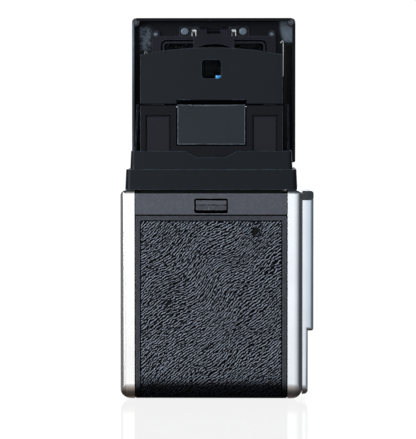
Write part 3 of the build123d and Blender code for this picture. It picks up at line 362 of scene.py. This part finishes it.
def leather_finish():
    """Blue-black leather: the wrinkles are in the mesh, fine creases and sheen are here, with
    painted highlights on the crests and painted shade in the creases and towards the foot.
    """
    f = Finish("wrinkled_leather")
    painted_light = f.node("ShaderNodeAttribute", {"attribute_name": "painted_light"}, {}, "Fac")
    lean = f.stretched((0.45, 1.0, 1.0), (0, math.radians(-50), 0))
    creases = f.grain(0.85, 3.0, lean, 0.6)
    pores = f.cells(2.2, "SMOOTH_F1")
    fine = f.grain(4.5, 3.0)
    # Painted highlight on the lit side of the crests, painted shade in the creases.
    crest = painted_light.rise(0.3, 0.9)
    # Painted shade: dead black towards the foot.
    foot = f.z.rise(14.5, 7.5) * 0.96
    base = f.mix(crest, tone("06070a"), tone("1b1e24"))
    base = f.mix(painted_light.rise(0.62, 0.92) * 0.9, base, tone("828b99"))
    base = f.mix(smudges(f, 0.05) * 0.15, base, tone("1c212b"))
    return f.shade(
        painted_shade=((1 - crest) * 0.9).most(foot),
        Base_Color=base,
        Roughness=0.27 + fine * 0.08,
        Specular_IOR_Level=0.31,
        Specular_Tint=tone("e4eeff"),
        Normal=f.relief(creases * 2.0 + pores * 0.4 + fine * 0.3, 0.05),
    )


def metal_finish(name, low, high, roughness, streak=(1, 1, 1)):
    """Bare metal with fine scratches, which streak can stretch along one axis."""
    f = Finish(name)
    scratch = f.grain(2.2, 3.0, f.stretched(streak))
    fine = f.grain(7.0, 1.0)
    cloud = smudges(f, 0.08)
    base = f.mix(scratch, tone(low), tone(high))
    base = f.mix(cloud * 0.25, base, tone(low))
    return f.shade(
        Base_Color=base,
        Metallic=1.0,
        Roughness=roughness + scratch * 0.08 + cloud * 0.06,
        Normal=f.relief(scratch + fine * 0.5, 0.004, f.rounded(0.15)),
    )


def glass_finish(name, code, roughness=0.02, ior=1.52, coat="5a6cff", coat_weight=0.0, film=0.0):
    """Clear glass, with a trace of dust and, on a lens, a coloured coating."""
    f = Finish(name)
    dust = f.cells(0.7).rise(0.06, 0.02) * f.grain(0.1, 2.0).rise(0.45, 0.65)
    wiped = f.grain(0.15, 3.0, f.stretched((1, 1, 0.3))).rise(0.4, 0.8)
    base = f.mix(dust * 0.5 + wiped * 0.05, tone(code), tone("c8ccd0"))
    return f.shade(
        Base_Color=base,
        Roughness=roughness + wiped * 0.02 + dust * 0.2,
        IOR=ior,
        Transmission_Weight=1.0,
        Coat_Weight=coat_weight,
        Coat_Roughness=0.02,
        Coat_Tint=tone(coat),
        Thin_Film_Thickness=film,
        Thin_Film_IOR=1.38,
        Normal=f.relief(wiped, 0.001),
    )


def ground_glass_finish():
    """Focusing screen: fine matt glass with a ruled grid."""
    f = Finish("ground_screen")
    fine = f.grain(8.0, 2.0)
    pitch, line_y = 10.0, -4.5
    across = abs((f.x / pitch).fraction() - 0.5)
    along = abs(((f.y - line_y) / pitch).fraction() - 0.5)
    line = across.most(along).rise(0.482, 0.49)
    base = f.mix(fine, tone("b9bdb8"), tone("cfd2cc"))
    base = f.mix(line * 0.8, base, tone("20242a"))
    return f.shade(
        Base_Color=base,
        Roughness=0.38 + fine * 0.12,
        IOR=1.5,
        Transmission_Weight=0.55,
        Normal=f.relief(fine, 0.01),
    )


def mirror_finish():
    """Mirror with a thin haze and a few specks of dust."""
    f = Finish("front_silvered_mirror")
    haze = smudges(f, 0.05)
    speck = f.cells(0.5).rise(0.05, 0.02)
    return f.shade(
        Base_Color=f.mix(haze * 0.3 + speck * 0.4, tone("eceef0"), tone("c4c8cc")),
        Metallic=1.0,
        Roughness=0.02 + haze * 0.04 + speck * 0.3,
        Normal=f.relief(haze, 0.001),
    )


def board_finish():
    """Circuit board and its parts: green mask over copper tracks below, black parts on top."""
    f = Finish("circuit_board")
    tracks = f.cells(0.35, "F1", f.stretched((1, 1, 0.01))).rise(0.38, 0.42)
    fine = f.grain(3.0, 3.0)
    mask = f.mix(tracks, tone("0d3b22"), tone("1d5c36"))
    part = f.mix(fine, tone("17181a"), tone("2a2b2e"))
    above = f.z.rise(107.42, 107.5)
    return f.shade(
        Base_Color=f.mix(above, mask, part),
        Roughness=0.35 + fine * 0.15,
        Normal=f.relief(tracks * (1 - above) + fine * 0.3, 0.03, f.rounded(0.15)),
    )


def battery_finish():
    """Printed jacket with a copper band at the positive end and bare steel ends."""
    f = Finish("cell_jacket")
    fine = f.grain(2.0, 3.0)
    band = f.x.rise(0.5, 0.8)
    ends = f.x.rise(8.3, 8.45).most(f.x.rise(-40.3, -40.45))
    base = f.mix(fine, tone("141517"), tone("202124"))
    base = f.mix(band, base, tone("b0713c"))
    base = f.mix(ends, base, tone("b9bbbd"))
    return f.shade(
        Base_Color=base,
        Metallic=(band * 0.8).most(ends),
        Roughness=0.28 + fine * 0.1,
        Normal=f.relief(fine, 0.01, f.rounded(0.2)),
    )


def window_finish():
    """Black window of the picture counter, with a painted highlight at the lower right of its rim.
    """
    f = Finish("counter_glass")
    fine = f.grain(2.0, 2.0)
    # Painted highlight on the lower right of the rim.
    rim = (f.x - f.z - (window_x - window_z)).rise(1.2, 1.6)
    return f.shade(
        Base_Color=f.mix(rim, f.mix(fine, tone("030405"), tone("0a0c10")), tone("39414c")),
        Roughness=0.3 + fine * 0.1,
        Specular_IOR_Level=0.08,
        Normal=f.relief(fine, 0.002, f.rounded(0.2)),
    )


def felt_finish():
    """Black light-trap felt."""
    f = Finish("black_felt")
    nap = f.grain(3.2, 5.0, rough=0.75)
    return f.shade(
        Base_Color=f.mix(nap, tone("050506"), tone("121316")),
        Roughness=0.85 + nap * 0.1,
        Specular_IOR_Level=0.1,
        Sheen_Weight=0.15,
        Normal=f.relief(nap, 0.08),
    )


def nylon_finish():
    """Ivory nylon of the drive gear."""
    f = Finish("gear_nylon")
    fine = f.grain(2.5, 3.0)
    return f.shade(
        Base_Color=f.mix(fine, tone("cfcabb"), tone("e2ded1")),
        Roughness=0.38 + fine * 0.12,
        Subsurface_Weight=0.1,
        Normal=f.relief(fine, 0.012, f.rounded(0.15)),
    )


def painted_glint_finish():
    """Coated blue glass of a small block on the magnifier, which paints a blue glint."""
    f = Finish("painted_blue_glint")
    fine = f.grain(1.5, 2.0)
    return f.shade(
        Base_Color=f.mix(fine, tone("0a78c8"), tone("2fa6ee")),
        Metallic=0.2,
        Roughness=0.12 + fine * 0.06,
        Coat_Weight=0.8,
        Coat_Roughness=0.03,
        Normal=f.relief(fine, 0.004, f.rounded(0.3)),
    )


# Metals of the back: darker and lighter tone, specular level, how rubbed the edges are (lighter:
# partly wear and partly painted highlight).
silver = silver_finish()
dark_metal = dark_metal_finish("dark_satin_metal", "32363f", "454a55", 0.40, 0.7)
slider_metal = dark_metal_finish("slider_metal", "26292f", "3a3e47", 0.33, 0.7)
door_metal = dark_metal_finish("door_satin_metal", "191b20", "373b46", 0.28, 0.4)

# Paints: darker and lighter tone, specular level, tone of the rubbed edges, how rubbed
# they are (both partly wear and partly painted highlight), roughness.
hood_paint = paint_finish("hood_paint", "080b0e", "0d1115", 0.15, "4a5866", 0.7, 0.36)
upper_paint = paint_finish("upper_leaf_paint", "0a0d10", "0f1317", 0.16, "485664", 0.7, 0.40)
leaf_paint = paint_finish("leaf_paint", "08090c", "0d0e12", 0.11, "525c68", 0.8, 0.40)
plate_paint = paint_finish("hinge_plate_paint", "11161b", "191f26", 0.24, "8c9cac", 0.95, 0.38)
finder_paint = paint_finish("finder_paint", "111117", "191922", 0.13, "4c4f5c", 0.6, 0.5)
boss_paint = paint_finish("boss_paint", "1c1d22", "2a2b31", 0.25, "787c86", 0.8, 0.4)
moulding = paint_finish("black_moulding", "060607", "0b0c0d", 0.10, "222427", 0.3, 0.5)
panel_black = paint_finish("front_panel_black", "101214", "191c1f", 0.4, "5a5f64", 0.4, 0.4)
lid_paint = lid_finish()
leather = leather_finish()

# Bare metals: darker and lighter tone, roughness, stretch of the scratches.
bright_steel = metal_finish("bright_steel", "b4b6b9", "d5d7da", 0.16)
spring_steel = metal_finish("spring_steel", "8f9193", "b5b7b9", 0.26, (1, 1, 0.08))
brass = metal_finish("brass_socket", "a4854a", "c9a868", 0.25, (1, 1, 0.1))
black_steel = metal_finish("blackened_steel", "26282b", "3b3e42", 0.34)
satin_steel = metal_finish("satin_steel", "48535e", "66727e", 0.30)
spring_wire = metal_finish("spring_wire", "c8ccd0", "eceef0", 0.42)

# Glass and the rest. A lens names its roughness, index, coat tone and weight, and film.
lens_glass = glass_finish("coated_lens", "eef2ff", 0.01, 1.6, "7a5cff", 0.6, 430.0)
clear_glass = glass_finish("clear_window", "f2f5f7")
magnifier_glass = glass_finish("magnifier_glass", "c4cace", 0.02, 1.06)
screen_glass = ground_glass_finish()
mirror_face = mirror_finish()
circuit = board_finish()
jacket = battery_finish()
counter_glass = window_finish()
felt = felt_finish()
nylon = nylon_finish()
painted_glint_glass = painted_glint_finish()

finish_of_node = {
    silver: ["left_side_cover", "right_side_cover", "film_exit_cover", "battery_door",
             "lens_board", "strap_lugs", "aperture_ring", "exposure_dial"],
    dark_metal: ["rear_top_panel"],
    slider_metal: ["latch_slider"],
    door_metal: ["door_frame"],
    moulding: ["main_body_shell", "shutter_unit", "light_chamber", "mirror_housing",
               "film_pack", "mode_switch", "base_plate"],
    panel_black: ["front_panel", "viewing_lens_barrel", "taking_lens_barrel",
                  "viewing_focus_ring", "taking_focus_ring"],
    hood_paint: ["hood_base_ring", "hood_skirt", "magnifier_bracket"],
    finder_paint: ["magnifier_frame"],
    leaf_paint: ["rear_panel_lower", "side_panel_left", "side_panel_right"],
    upper_paint: ["rear_panel_upper"],
    plate_paint: ["panel_hinge_plate"],
    lid_paint: ["lid_shell"],
    lens_glass: ["viewing_front_lens", "taking_front_lens"],
    clear_glass: ["flash_window", "light_sensor"],
    magnifier_glass: ["magnifier_lens"],
    screen_glass: ["focusing_screen"],
    mirror_face: ["reflex_mirror", "flash_reflector"],
    bright_steel: ["shutter_button", "hinge_pins", "inner_film_roller",
                   "outer_film_roller"],
    spring_steel: ["film_pressure_springs", "eject_claw", "roller_frame", "drive_motor"],
    black_steel: ["body_screws"],
    brass: ["tripod_socket"],
    circuit: ["main_circuit_board"],
    jacket: ["batteries", "flash_capacitor"],
    counter_glass: ["counter_window"],
    nylon: ["drive_gear"],
}
for finish, names in finish_of_node.items():
    for name in names:
        for slot in nodes[name].material_slots:
            slot.material = finish.material


# New pieces


def added(name, data):
    """Object of a mesh, a curve, a light or a camera, put into the scene."""
    thing = bpy.data.objects.new(name, data)
    bpy.context.scene.collection.objects.link(thing)
    return thing


def mesh_of(name, bm):
    """Mesh of a bmesh, which is freed."""
    mesh = bpy.data.meshes.new(name)
    bm.to_mesh(mesh)
    bm.free()
    return mesh


def finished(name, bm, finish, body, sharp_from=30.0):
    """Turns a bmesh in millimetres into a piece that rides on a body. Edges that turn by more
    than sharp_from degrees stay sharp."""
    bmesh.ops.scale(bm, vec=(MM, MM, MM), verts=bm.verts)
    mesh = mesh_of(name, bm)
    mesh.materials.append(finish.material)
    mesh.shade_smooth()
    if sharp_from:
        mesh.set_sharp_from_angle(angle=math.radians(sharp_from))
    piece = added(name, mesh)
    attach(piece, body)
    return piece


def round_edges(bm, edges, width, segments=2):
    bmesh.ops.bevel(bm, geom=edges, offset=width, offset_type="OFFSET", segments=segments,
                    profile=0.5, affect="EDGES", material=-1)


def slab(bm, x, y, z, bevel):
    """Box over three ranges, added to a bmesh, with rounded edges."""
    size = [high - low for low, high in (x, y, z)]
    centre = [(high + low) / 2 for low, high in (x, y, z)]
    made = bmesh.ops.create_cube(bm, size=1.0)["verts"]
    bmesh.ops.scale(bm, vec=size, verts=made)
    bmesh.ops.translate(bm, vec=centre, verts=made)
    round_edges(bm, list({e for v in made for e in v.link_edges}), bevel)


# Leather: a fine sheet with its wrinkles raised in the mesh


def box_distance(u, v, centre, half, radius):
    """Distance from a rounded rectangle's outline, positive inside."""
    across = abs(u - centre[0]) - half[0] + radius
    along = abs(v - centre[1]) - half[1] + radius
    outside = math.hypot(max(across, 0.0), max(along, 0.0))
    return radius - outside - min(max(across, along), 0.0)


def ring_distance(u, v, centre, radius):
    """Distance from a round hole's edge, positive outside the hole."""
    return math.hypot(u - centre[0], v - centre[1]) - radius


def soft(value):
    """Soft step from 0 to 1 while the value does the same."""
    value = max(0.0, min(1.0, value))
    return value * value * (3 - 2 * value)


grain_angle = math.radians(38)
grain_way = (math.cos(grain_angle), math.sin(grain_angle))
ridge_pitch = 1.36
bend_length, bend_width = 2.5, 1.5
bead_length, bead_width = 1.15, 0.85
drift_patch, drift_reach = 24.0, 3.5
depth_patch = 17.0
skin_thickness = 0.06
skin_height, grain_height = 0.20, 0.28
edge_roll = 0.8

# The drift is drawn from this seed, so the hide is the same in every run.
noise.seed_set(1)


def wrinkle(u, v):
    """Height of the leather's grain, 0 in a crease and 1 on a crest, at a place in millimetres:
    ridges that wave and drift, broken into beads, deeper in some parts than in others."""
    drift = drift_reach * noise.noise_vector(Vector((u / drift_patch, v / drift_patch, 3.0)))
    u, v = u + drift.x, v + drift.y
    along = u * grain_way[0] + v * grain_way[1]
    across = v * grain_way[0] - u * grain_way[1]
    bend = noise.noise(Vector((along / bend_length, across / bend_width, 0.0)))
    beads = noise.noise(Vector((along / bead_length, across / bead_width, 7.0)))
    ridge = math.sin(2 * math.pi * (across / ridge_pitch + 0.6 * bend))
    depth = 1.0 + 0.5 * noise.noise(Vector((u / depth_patch, v / depth_patch, 5.0)))
    return soft(0.5 + depth * (0.42 * ridge + 0.75 * beads))


def leather_sheet(name, node, body, size, steps, distance, place):
    """Sheet of size (across, along) that stands for a CAD skin. Distance says how far a point
    is inside the cut edge, and place puts a point and its height on the camera."""
    bm = bmesh.new()
    bmesh.ops.create_grid(bm, x_segments=steps[0], y_segments=steps[1], size=0.5)
    bmesh.ops.scale(bm, vec=(size[0], size[1], 1.0), verts=bm.verts)
    column, row = size[0] / steps[0], size[1] / steps[1]
    # Points near the cut edge are moved onto it, along the slope of the distance.
    reach = 0.62 * max(column, row)
    tiny = 0.01
    for vert in bm.verts:
        u, v = vert.co.x, vert.co.y
        inside = distance(u, v)
        if abs(inside) < reach and inside != 0.0:
            slope = Vector((distance(u + tiny, v) - inside, distance(u, v + tiny) - inside)) / tiny
            if slope.length > 0.5:
                vert.co.x = max(-size[0] / 2, min(size[0] / 2, u - inside * slope.x))
                vert.co.y = max(-size[1] / 2, min(size[1] / 2, v - inside * slope.y))
    outside = [f for f in bm.faces if distance(*f.calc_center_median().xy) < 0.0]
    bmesh.ops.delete(bm, geom=outside, context="FACES")
    rim = bmesh.ops.extrude_edge_only(bm, edges=[e for e in bm.edges if e.is_boundary])["geom"]
    low = [g for g in rim if isinstance(g, bmesh.types.BMVert)]
    bmesh.ops.translate(bm, vec=(0, 0, -skin_thickness), verts=low)
    back = bmesh.ops.triangle_fill(bm, use_beauty=True, edges=[
        g for g in rim if isinstance(g, bmesh.types.BMEdge) and g.is_boundary])["geom"]
    # The back is cut into rows near its foot, so that it bends with the front.
    for cut in range(20):
        back = [g for g in back if g.is_valid] + low
        back = bmesh.ops.bisect_plane(bm, geom=list(set(back)), dist=0.001, plane_no=(0, 1, 0),
                                      plane_co=(0, cut * row - size[1] / 2, 0))["geom"]
    # The attribute is painted light: highest on the side of a crest that looks up and to the left,
    # as if lit from there, and lowest in the creases.
    painted_light = bm.verts.layers.float.new("painted_light")
    for vert in bm.verts:
        u, v = vert.co.x, vert.co.y
        if vert.co.z < -skin_thickness / 2:
            vert.co = place(u, v, -skin_thickness)
            continue
        border = soft(distance(u, v) / edge_roll)
        grain = wrinkle(u, v)
        lit = soft(0.5 + 0.9 * (grain - wrinkle(u - 0.15, v + 0.2)))
        vert[painted_light] = (0.5 * grain + 0.5 * lit) * border
        vert.co = place(u, v, skin_height * border + grain_height * grain * border)
    bmesh.ops.recalc_face_normals(bm, faces=bm.faces)
    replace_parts(finished(name, bm, leather, body, None), node)


rear_top_z, hinge_y, hinge_z = 105.0, -40.0, 7.0
rear_straight = rear_top_z - hinge_z
# The skin's back bends at one radius, and its length is kept at the other.
rear_bend, rear_length_radius = 6.5, 6.8
rear_size = (83.2, rear_straight + 6.2)


def rear_distance(u, v):
    sheet = box_distance(u, v, (0, 0), (rear_size[0] / 2, rear_size[1] / 2), 0.8)
    window_v = rear_size[1] / 2 - (rear_top_z - window_z)
    return min(sheet, ring_distance(u, v, (window_x, window_v), window_radius))


def rear_place(u, v, height):
    down = rear_size[1] / 2 - v
    reach = rear_bend + height
    angle = max(0.0, down - rear_straight) / rear_length_radius
    if not angle:
        return Vector((u, hinge_y - reach, rear_top_z - down))
    return Vector((u, hinge_y - reach * math.cos(angle), hinge_z - reach * math.sin(angle)))


leather_sheet("rear_leather", "door_leather", "rear_door", rear_size, (264, 336),
              rear_distance, rear_place)

front_size, front_centre_z, front_y = (86.8, 115.0), 62.1, 47.08


def front_distance(u, v):
    x, z = -u, v + front_centre_z
    sheet = box_distance(u, v, (0, 0), (front_size[0] / 2, front_size[1] / 2), 2.0)
    board = -box_distance(x, z, (0, 96.0), (23.75, 52.6), 5.0)
    flash = -box_distance(x, z, (-34.0, 105.0), (9.2, 9.2), 0.6)
    switch = -box_distance(x, z, (-35.4, 20.0), (5.7, 2.6), 0.6)
    holes = [ring_distance(x, z, centre, radius) for centre, radius in (
        ((34.5, 108.0), 8.6), ((34.5, 92.0), 3.4), ((36.0, 20.0), 5.4))]
    return min(sheet, board, flash, switch, *holes)


def front_place(u, v, height):
    return Vector((-u, front_y + height, v + front_centre_z))


leather_sheet("front_leather_skin", "front_leather", "camera_body", front_size, (200, 266),
              front_distance, front_place)


# Screws, springs and small fittings of the hood lid


def cross_screw(bm, centre, radius, head, dome):
    """Round head with a cross recess that faces the rear, added to a bmesh. The recess is
    turned a little, as screws stop where they stop."""
    part = bmesh.new()
    bmesh.ops.create_cone(part, cap_ends=True, segments=36, radius1=radius, radius2=radius,
                          depth=head)
    rim = [e for e in part.edges if all(v.co.z > 0 for v in e.verts)]
    round_edges(part, rim, min(dome, head * 0.6), 3)
    arm, wide = radius * 0.62, radius * 0.13
    for normal in ((1, 0, 0), (0, 1, 0)):
        for reach in (-arm, -wide, wide, arm):
            bmesh.ops.bisect_plane(part, geom=part.verts[:] + part.edges[:] + part.faces[:],
                                   plane_co=Vector(normal) * reach, plane_no=normal)
    slot = []
    for face in part.faces:
        place = face.calc_center_median()
        near, far = sorted((abs(place.x), abs(place.y)))
        if place.z > head / 2 - 0.01 and far < arm and near < wide:
            slot.append(face)
    sunk = bmesh.ops.extrude_face_region(part, geom=slot)["geom"]
    bmesh.ops.delete(part, geom=slot, context="FACES")
    bmesh.ops.translate(part, vec=(0, 0, -head * 0.5),
                        verts=[g for g in sunk if isinstance(g, bmesh.types.BMVert)])
    for angle, axis in ((17, "Z"), (90, "X")):
        bmesh.ops.rotate(part, cent=(0, 0, 0), verts=part.verts,
                         matrix=Matrix.Rotation(math.radians(angle), 3, axis))
    bmesh.ops.translate(part, vec=centre, verts=part.verts)
    joined = mesh_of("screw_part", part)
    bm.from_mesh(joined)
    bpy.data.meshes.remove(joined)


def screw_pair(name, place, radius, head, dome, finish, body):
    """Piece of two screws, left and right of the middle."""
    x, y, z = place
    screws = bmesh.new()
    for side in (-1, 1):
        cross_screw(screws, (side * x, y, z), radius, head, dome)
    return finished(name, screws, finish, body)


bracket_y, ear_y, post_y = 49.6, 46.5, 39.1
post_x, post_z = 47.9, 223.9

screw_pair("bracket_screws", (18.0, bracket_y - 0.3, 218.5), 2.4, 0.6, 0.3,
           satin_steel, "hood_lid")
corner_screws = screw_pair("corner_screws", (post_x, post_y - 0.2, post_z), 1.5, 0.4, 0.25,
                           boss_paint, "hood_lid")
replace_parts(corner_screws, "lid_screws")

bosses = bmesh.new()
for side in (-1, 1):
    profile = [
        bosses.verts.new((side * post_x + radius, post_y - lift, post_z)) for radius, lift in
        ((2.3, 0.0), (2.3, 0.35), (2.15, 0.5), (1.8, 0.5), (1.65, 0.35), (1.65, 0.0))
    ]
    outline = [bosses.edges.new(pair) for pair in zip(profile, profile[1:] + profile[:1])]
    bmesh.ops.spin(bosses, geom=profile + outline, cent=(side * post_x, 0, post_z),
                   axis=(0, 1, 0), angle=2 * math.pi, steps=40, use_merge=True)
bmesh.ops.recalc_face_normals(bosses, faces=bosses.faces)
finished("corner_bosses", bosses, boss_paint, "hood_lid")

screw_pair("ear_screws", (35.8, ear_y - 0.2, 216.6), 1.25, 0.4, 0.25, satin_steel, "magnifier")

rivets = bmesh.new()
for side in (-1, 1):
    made = bmesh.ops.create_uvsphere(rivets, u_segments=16, v_segments=10, radius=0.55)["verts"]
    bmesh.ops.translate(rivets, vec=(side * 20.3, leaf_rear_y - 0.3, 171.3), verts=made)
finished("plate_rivets", rivets, bright_steel, "rear_leaf_lower")


def coil(bm, start, radius, wire, turns, length, leg):
    """Torsion spring round an axis along X, with a straight leg at each end."""
    across = bmesh.ops.create_circle(bm, segments=10, radius=wire)["verts"]
    ring = list({e for v in across for e in v.link_edges})
    bmesh.ops.translate(bm, vec=start + Vector((0, radius, 0)), verts=across)
    steps = round(turns * 20)
    grown = bmesh.ops.spin(
        bm, geom=ring, cent=start, axis=(1, 0, 0), dvec=(length / steps, 0, 0),
        angle=turns * 2 * math.pi, steps=steps, use_merge=False,
    )["geom_last"]
    last = [g for g in grown if isinstance(g, bmesh.types.BMEdge)]
    for end in (ring, last):
        out = bmesh.ops.extrude_edge_only(bm, edges=end)["geom"]
        tip = [g for g in out if isinstance(g, bmesh.types.BMVert)]
        bmesh.ops.translate(bm, vec=leg, verts=tip)
        bmesh.ops.contextual_create(bm, geom=[g for g in out if isinstance(g, bmesh.types.BMEdge)])


swing_y, swing_z = 48.0, 218.8
springs = bmesh.new()
for start_x in (-13.5, 11.1):
    coil(springs, Vector((start_x, swing_y, swing_z)), radius=1.28, wire=0.26, turns=4.5,
         length=2.4, leg=(0, 0, -3.2))
bmesh.ops.recalc_face_normals(springs, faces=springs.faces)
torsion = finished("torsion_springs", springs, spring_wire, "hood_lid", 60)
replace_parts(torsion, "magnifier_spring_sleeves")


def stay_wire(name, points):
    """Thin round wire through points in millimetres, made a mesh, in the lid's tray."""
    line = bpy.data.curves.new(name, "CURVE")
    line.dimensions, line.bevel_depth, line.bevel_resolution = "3D", 0.2 * MM, 3
    line.resolution_u, line.use_fill_caps = 6, True
    spline = line.splines.new("NURBS")
    spline.points.add(len(points) - 1)
    for point, place in zip(spline.points, points):
        point.co = (*(c * MM for c in place), 1.0)
    spline.order_u, spline.use_endpoint_u = 3, True
    holder = added(name, line)
    bpy.context.view_layer.update()
    drawn = bpy.data.meshes.new_from_object(holder.evaluated_get(
        bpy.context.evaluated_depsgraph_get()))
    bpy.data.objects.remove(holder)
    bpy.data.curves.remove(line)
    bm = bmesh.new()
    bm.from_mesh(drawn)
    bpy.data.meshes.remove(drawn)
    bmesh.ops.remove_doubles(bm, verts=bm.verts, dist=0.0001 * MM)
    bmesh.ops.scale(bm, vec=(1 / MM,) * 3, verts=bm.verts)
    finished(name, bm, spring_wire, "hood_lid", 60)


for name, side, low, high in (
    ("stay_wire_left", -1, 189.0, 206.0),
    ("stay_wire_right", 1, 190.8, 212.5),
):
    x = side * 42.9
    stay_wire(name, [
        (x - side * 1.6, 49.8, high - 1.2), (x - side * 0.9, 49.6, high + 0.3),
        (x, 49.3, high), (x, 49.2, high - 2.0), (x, 49.2, low + 2.0), (x, 49.3, low),
        (x - side * 0.9, 49.6, low - 0.3), (x - side * 1.6, 49.8, low + 1.0),
    ])

felt_strips = bmesh.new()
for side in (-1, 1):
    across = sorted((side * 44.1, side * 44.64))
    slab(felt_strips, across, (-44.4, -38.0), (3.6, 14.4), bevel=0.1)
    slab(felt_strips, across, (-41.0, -38.0), (0.8, 3.5), bevel=0.1)
finished("door_edge_felt", felt_strips, felt, "camera_body")

# Painted shade: black felt sheets on the tray floor beside the side panels stand for the shade
# there.
shade_felt = bmesh.new()
slab(shade_felt, (44.4, 47.9), (49.7, 50.55), (143.0, 210.6), bevel=0.3)
slab(shade_felt, (-47.9, -45.2), (49.9, 50.55), (143.0, 203.0), bevel=0.3)
finished("tray_shade_felt", shade_felt, felt, "hood_lid")

# Painted reflection: a small blue glass block on the magnifier stands for a blue glint.
glint_block = bmesh.new()
slab(glint_block, (1.2, 5.0), (46.9, 47.58), (188.2, 191.3), bevel=0.3)
finished("painted_glint_mark", glint_block, painted_glint_glass, "magnifier")


# Floor, backdrop, light and camera


def stage_object(name, bm, finish):
    """Object that belongs to the studio and not to the camera."""
    mesh = mesh_of(name, bm)
    mesh.materials.append(finish.material)
    thing = added(name, mesh)
    return thing


def floor_finish():
    """White floor that glows by itself and mirrors the camera faintly."""
    f = Finish("studio_floor")
    cloud = f.grain(0.002, 3.0)
    white = f.mix(cloud, tone("f8f8f8"), tone("fafafa"))
    matt = f.node("ShaderNodeBsdfDiffuse", {}, {"Color": (0.02, 0.02, 0.02, 1)})
    glow = f.node("ShaderNodeEmission", {}, {"Color": white, "Strength": 1.085})
    body = f.node("ShaderNodeAddShader", {}, {0: matt, 1: glow})
    gloss = f.node("ShaderNodeBsdfGlossy", {}, {"Roughness": 0.04})
    both = f.node("ShaderNodeMixShader", {}, {0: 0.16, 1: body, 2: gloss})
    f.end(both)
    return f


def backdrop_finish():
    """White that glows by itself."""
    f = Finish("studio_backdrop")
    glow = f.node("ShaderNodeEmission", {}, {"Color": (1, 1, 1, 1), "Strength": 1.05})
    f.end(glow)
    return f


floor_mesh = bmesh.new()
bmesh.ops.create_grid(floor_mesh, x_segments=8, y_segments=8, size=7.0)
floor = stage_object("studio_floor", floor_mesh, floor_finish())
floor.visible_glossy = floor.visible_diffuse = False

dome_mesh = bmesh.new()
bmesh.ops.create_icosphere(dome_mesh, subdivisions=4, radius=9.0)
backdrop = stage_object("studio_backdrop", dome_mesh, backdrop_finish())
backdrop.visible_glossy = backdrop.visible_diffuse = backdrop.visible_shadow = False

# The world is what the shiny parts mirror: bright before and behind, darker above and below,
# bluish on the right and warm near the floor.
world = bpy.data.worlds.new("studio")
bpy.context.scene.world = world
sky = Tree(world, "ShaderNodeOutputWorld")
right = sky.node("ShaderNodeSeparateXYZ", {}, {
    0: sky.node("ShaderNodeTexCoord", {}, {}, "Generated")})
ahead, up = right.output("Y"), right.output("Z")
strength = abs(ahead).rise(0.35, 0.93, 0.27, 1.40) * up.rise(0.14, 0.5, 1.0, 0.24)
strength = strength * up.rise(-0.30, -0.06, 0.34, 1.0) * up.rise(-0.95, -0.25, 0.6, 1.0)
strength = strength * right.rise(0.1, 0.7, 1.0, 0.75)
neutral, bluish, warm = (0.97, 0.985, 1.0, 1.0), (0.90, 0.95, 1.0, 1.0), (1.0, 0.86, 0.78, 1.0)
tint = sky.mix(right.rise(0.0, 0.5), neutral, bluish)
tint = sky.mix(up.rise(-0.5, -0.05, 1.0, 0.0), tint, warm)
sky.end(sky.node("ShaderNodeBackground", {}, {"Color": tint, "Strength": strength}))

middle = Vector((0.0, 0.0, 0.11))


def aim(thing, point):
    """Turns a light or a camera towards a point."""
    thing.rotation_euler = (point - thing.location).to_track_quat("-Z", "Y").to_euler()


def soft_box(name, place, size, power, glossy=False):
    """White light panel in metres that looks at the middle of the camera."""
    data = bpy.data.lights.new(name, "AREA")
    data.shape, data.size, data.size_y = "RECTANGLE", size[0], size[1]
    data.energy = power
    lamp = added(name, data)
    lamp.location = place
    aim(lamp, middle)
    lamp.visible_glossy = glossy
    lamp.visible_camera = False


soft_box("key_left", (-0.62, -0.95, 0.42), (0.55, 0.7), 9.0, glossy=True)
soft_box("rim_left", (-1.15, -0.10, 0.35), (0.3, 0.8), 7.0)
soft_box("fill_right", (0.95, -0.9, 0.45), (0.6, 0.8), 3.0)
soft_box("overhead", (0.0, 0.0, 1.5), (1.6, 1.6), 12.0)
soft_box("front_light", (0.55, 1.1, 0.8), (0.8, 0.8), 12.0, glossy=True)

camera_data = bpy.data.cameras.new("view")
camera_data.lens, camera_data.sensor_width = 213.3, 36.0
camera_data.clip_start, camera_data.clip_end = 0.05, 40.0
camera = added("view", camera_data)
camera.location = (0.0275, -1.563, 0.160)
aim(camera, Vector((-0.0018, -0.047, 0.1055)))
bpy.context.scene.camera = camera
bpy.context.scene.view_settings.view_transform = "Standard"
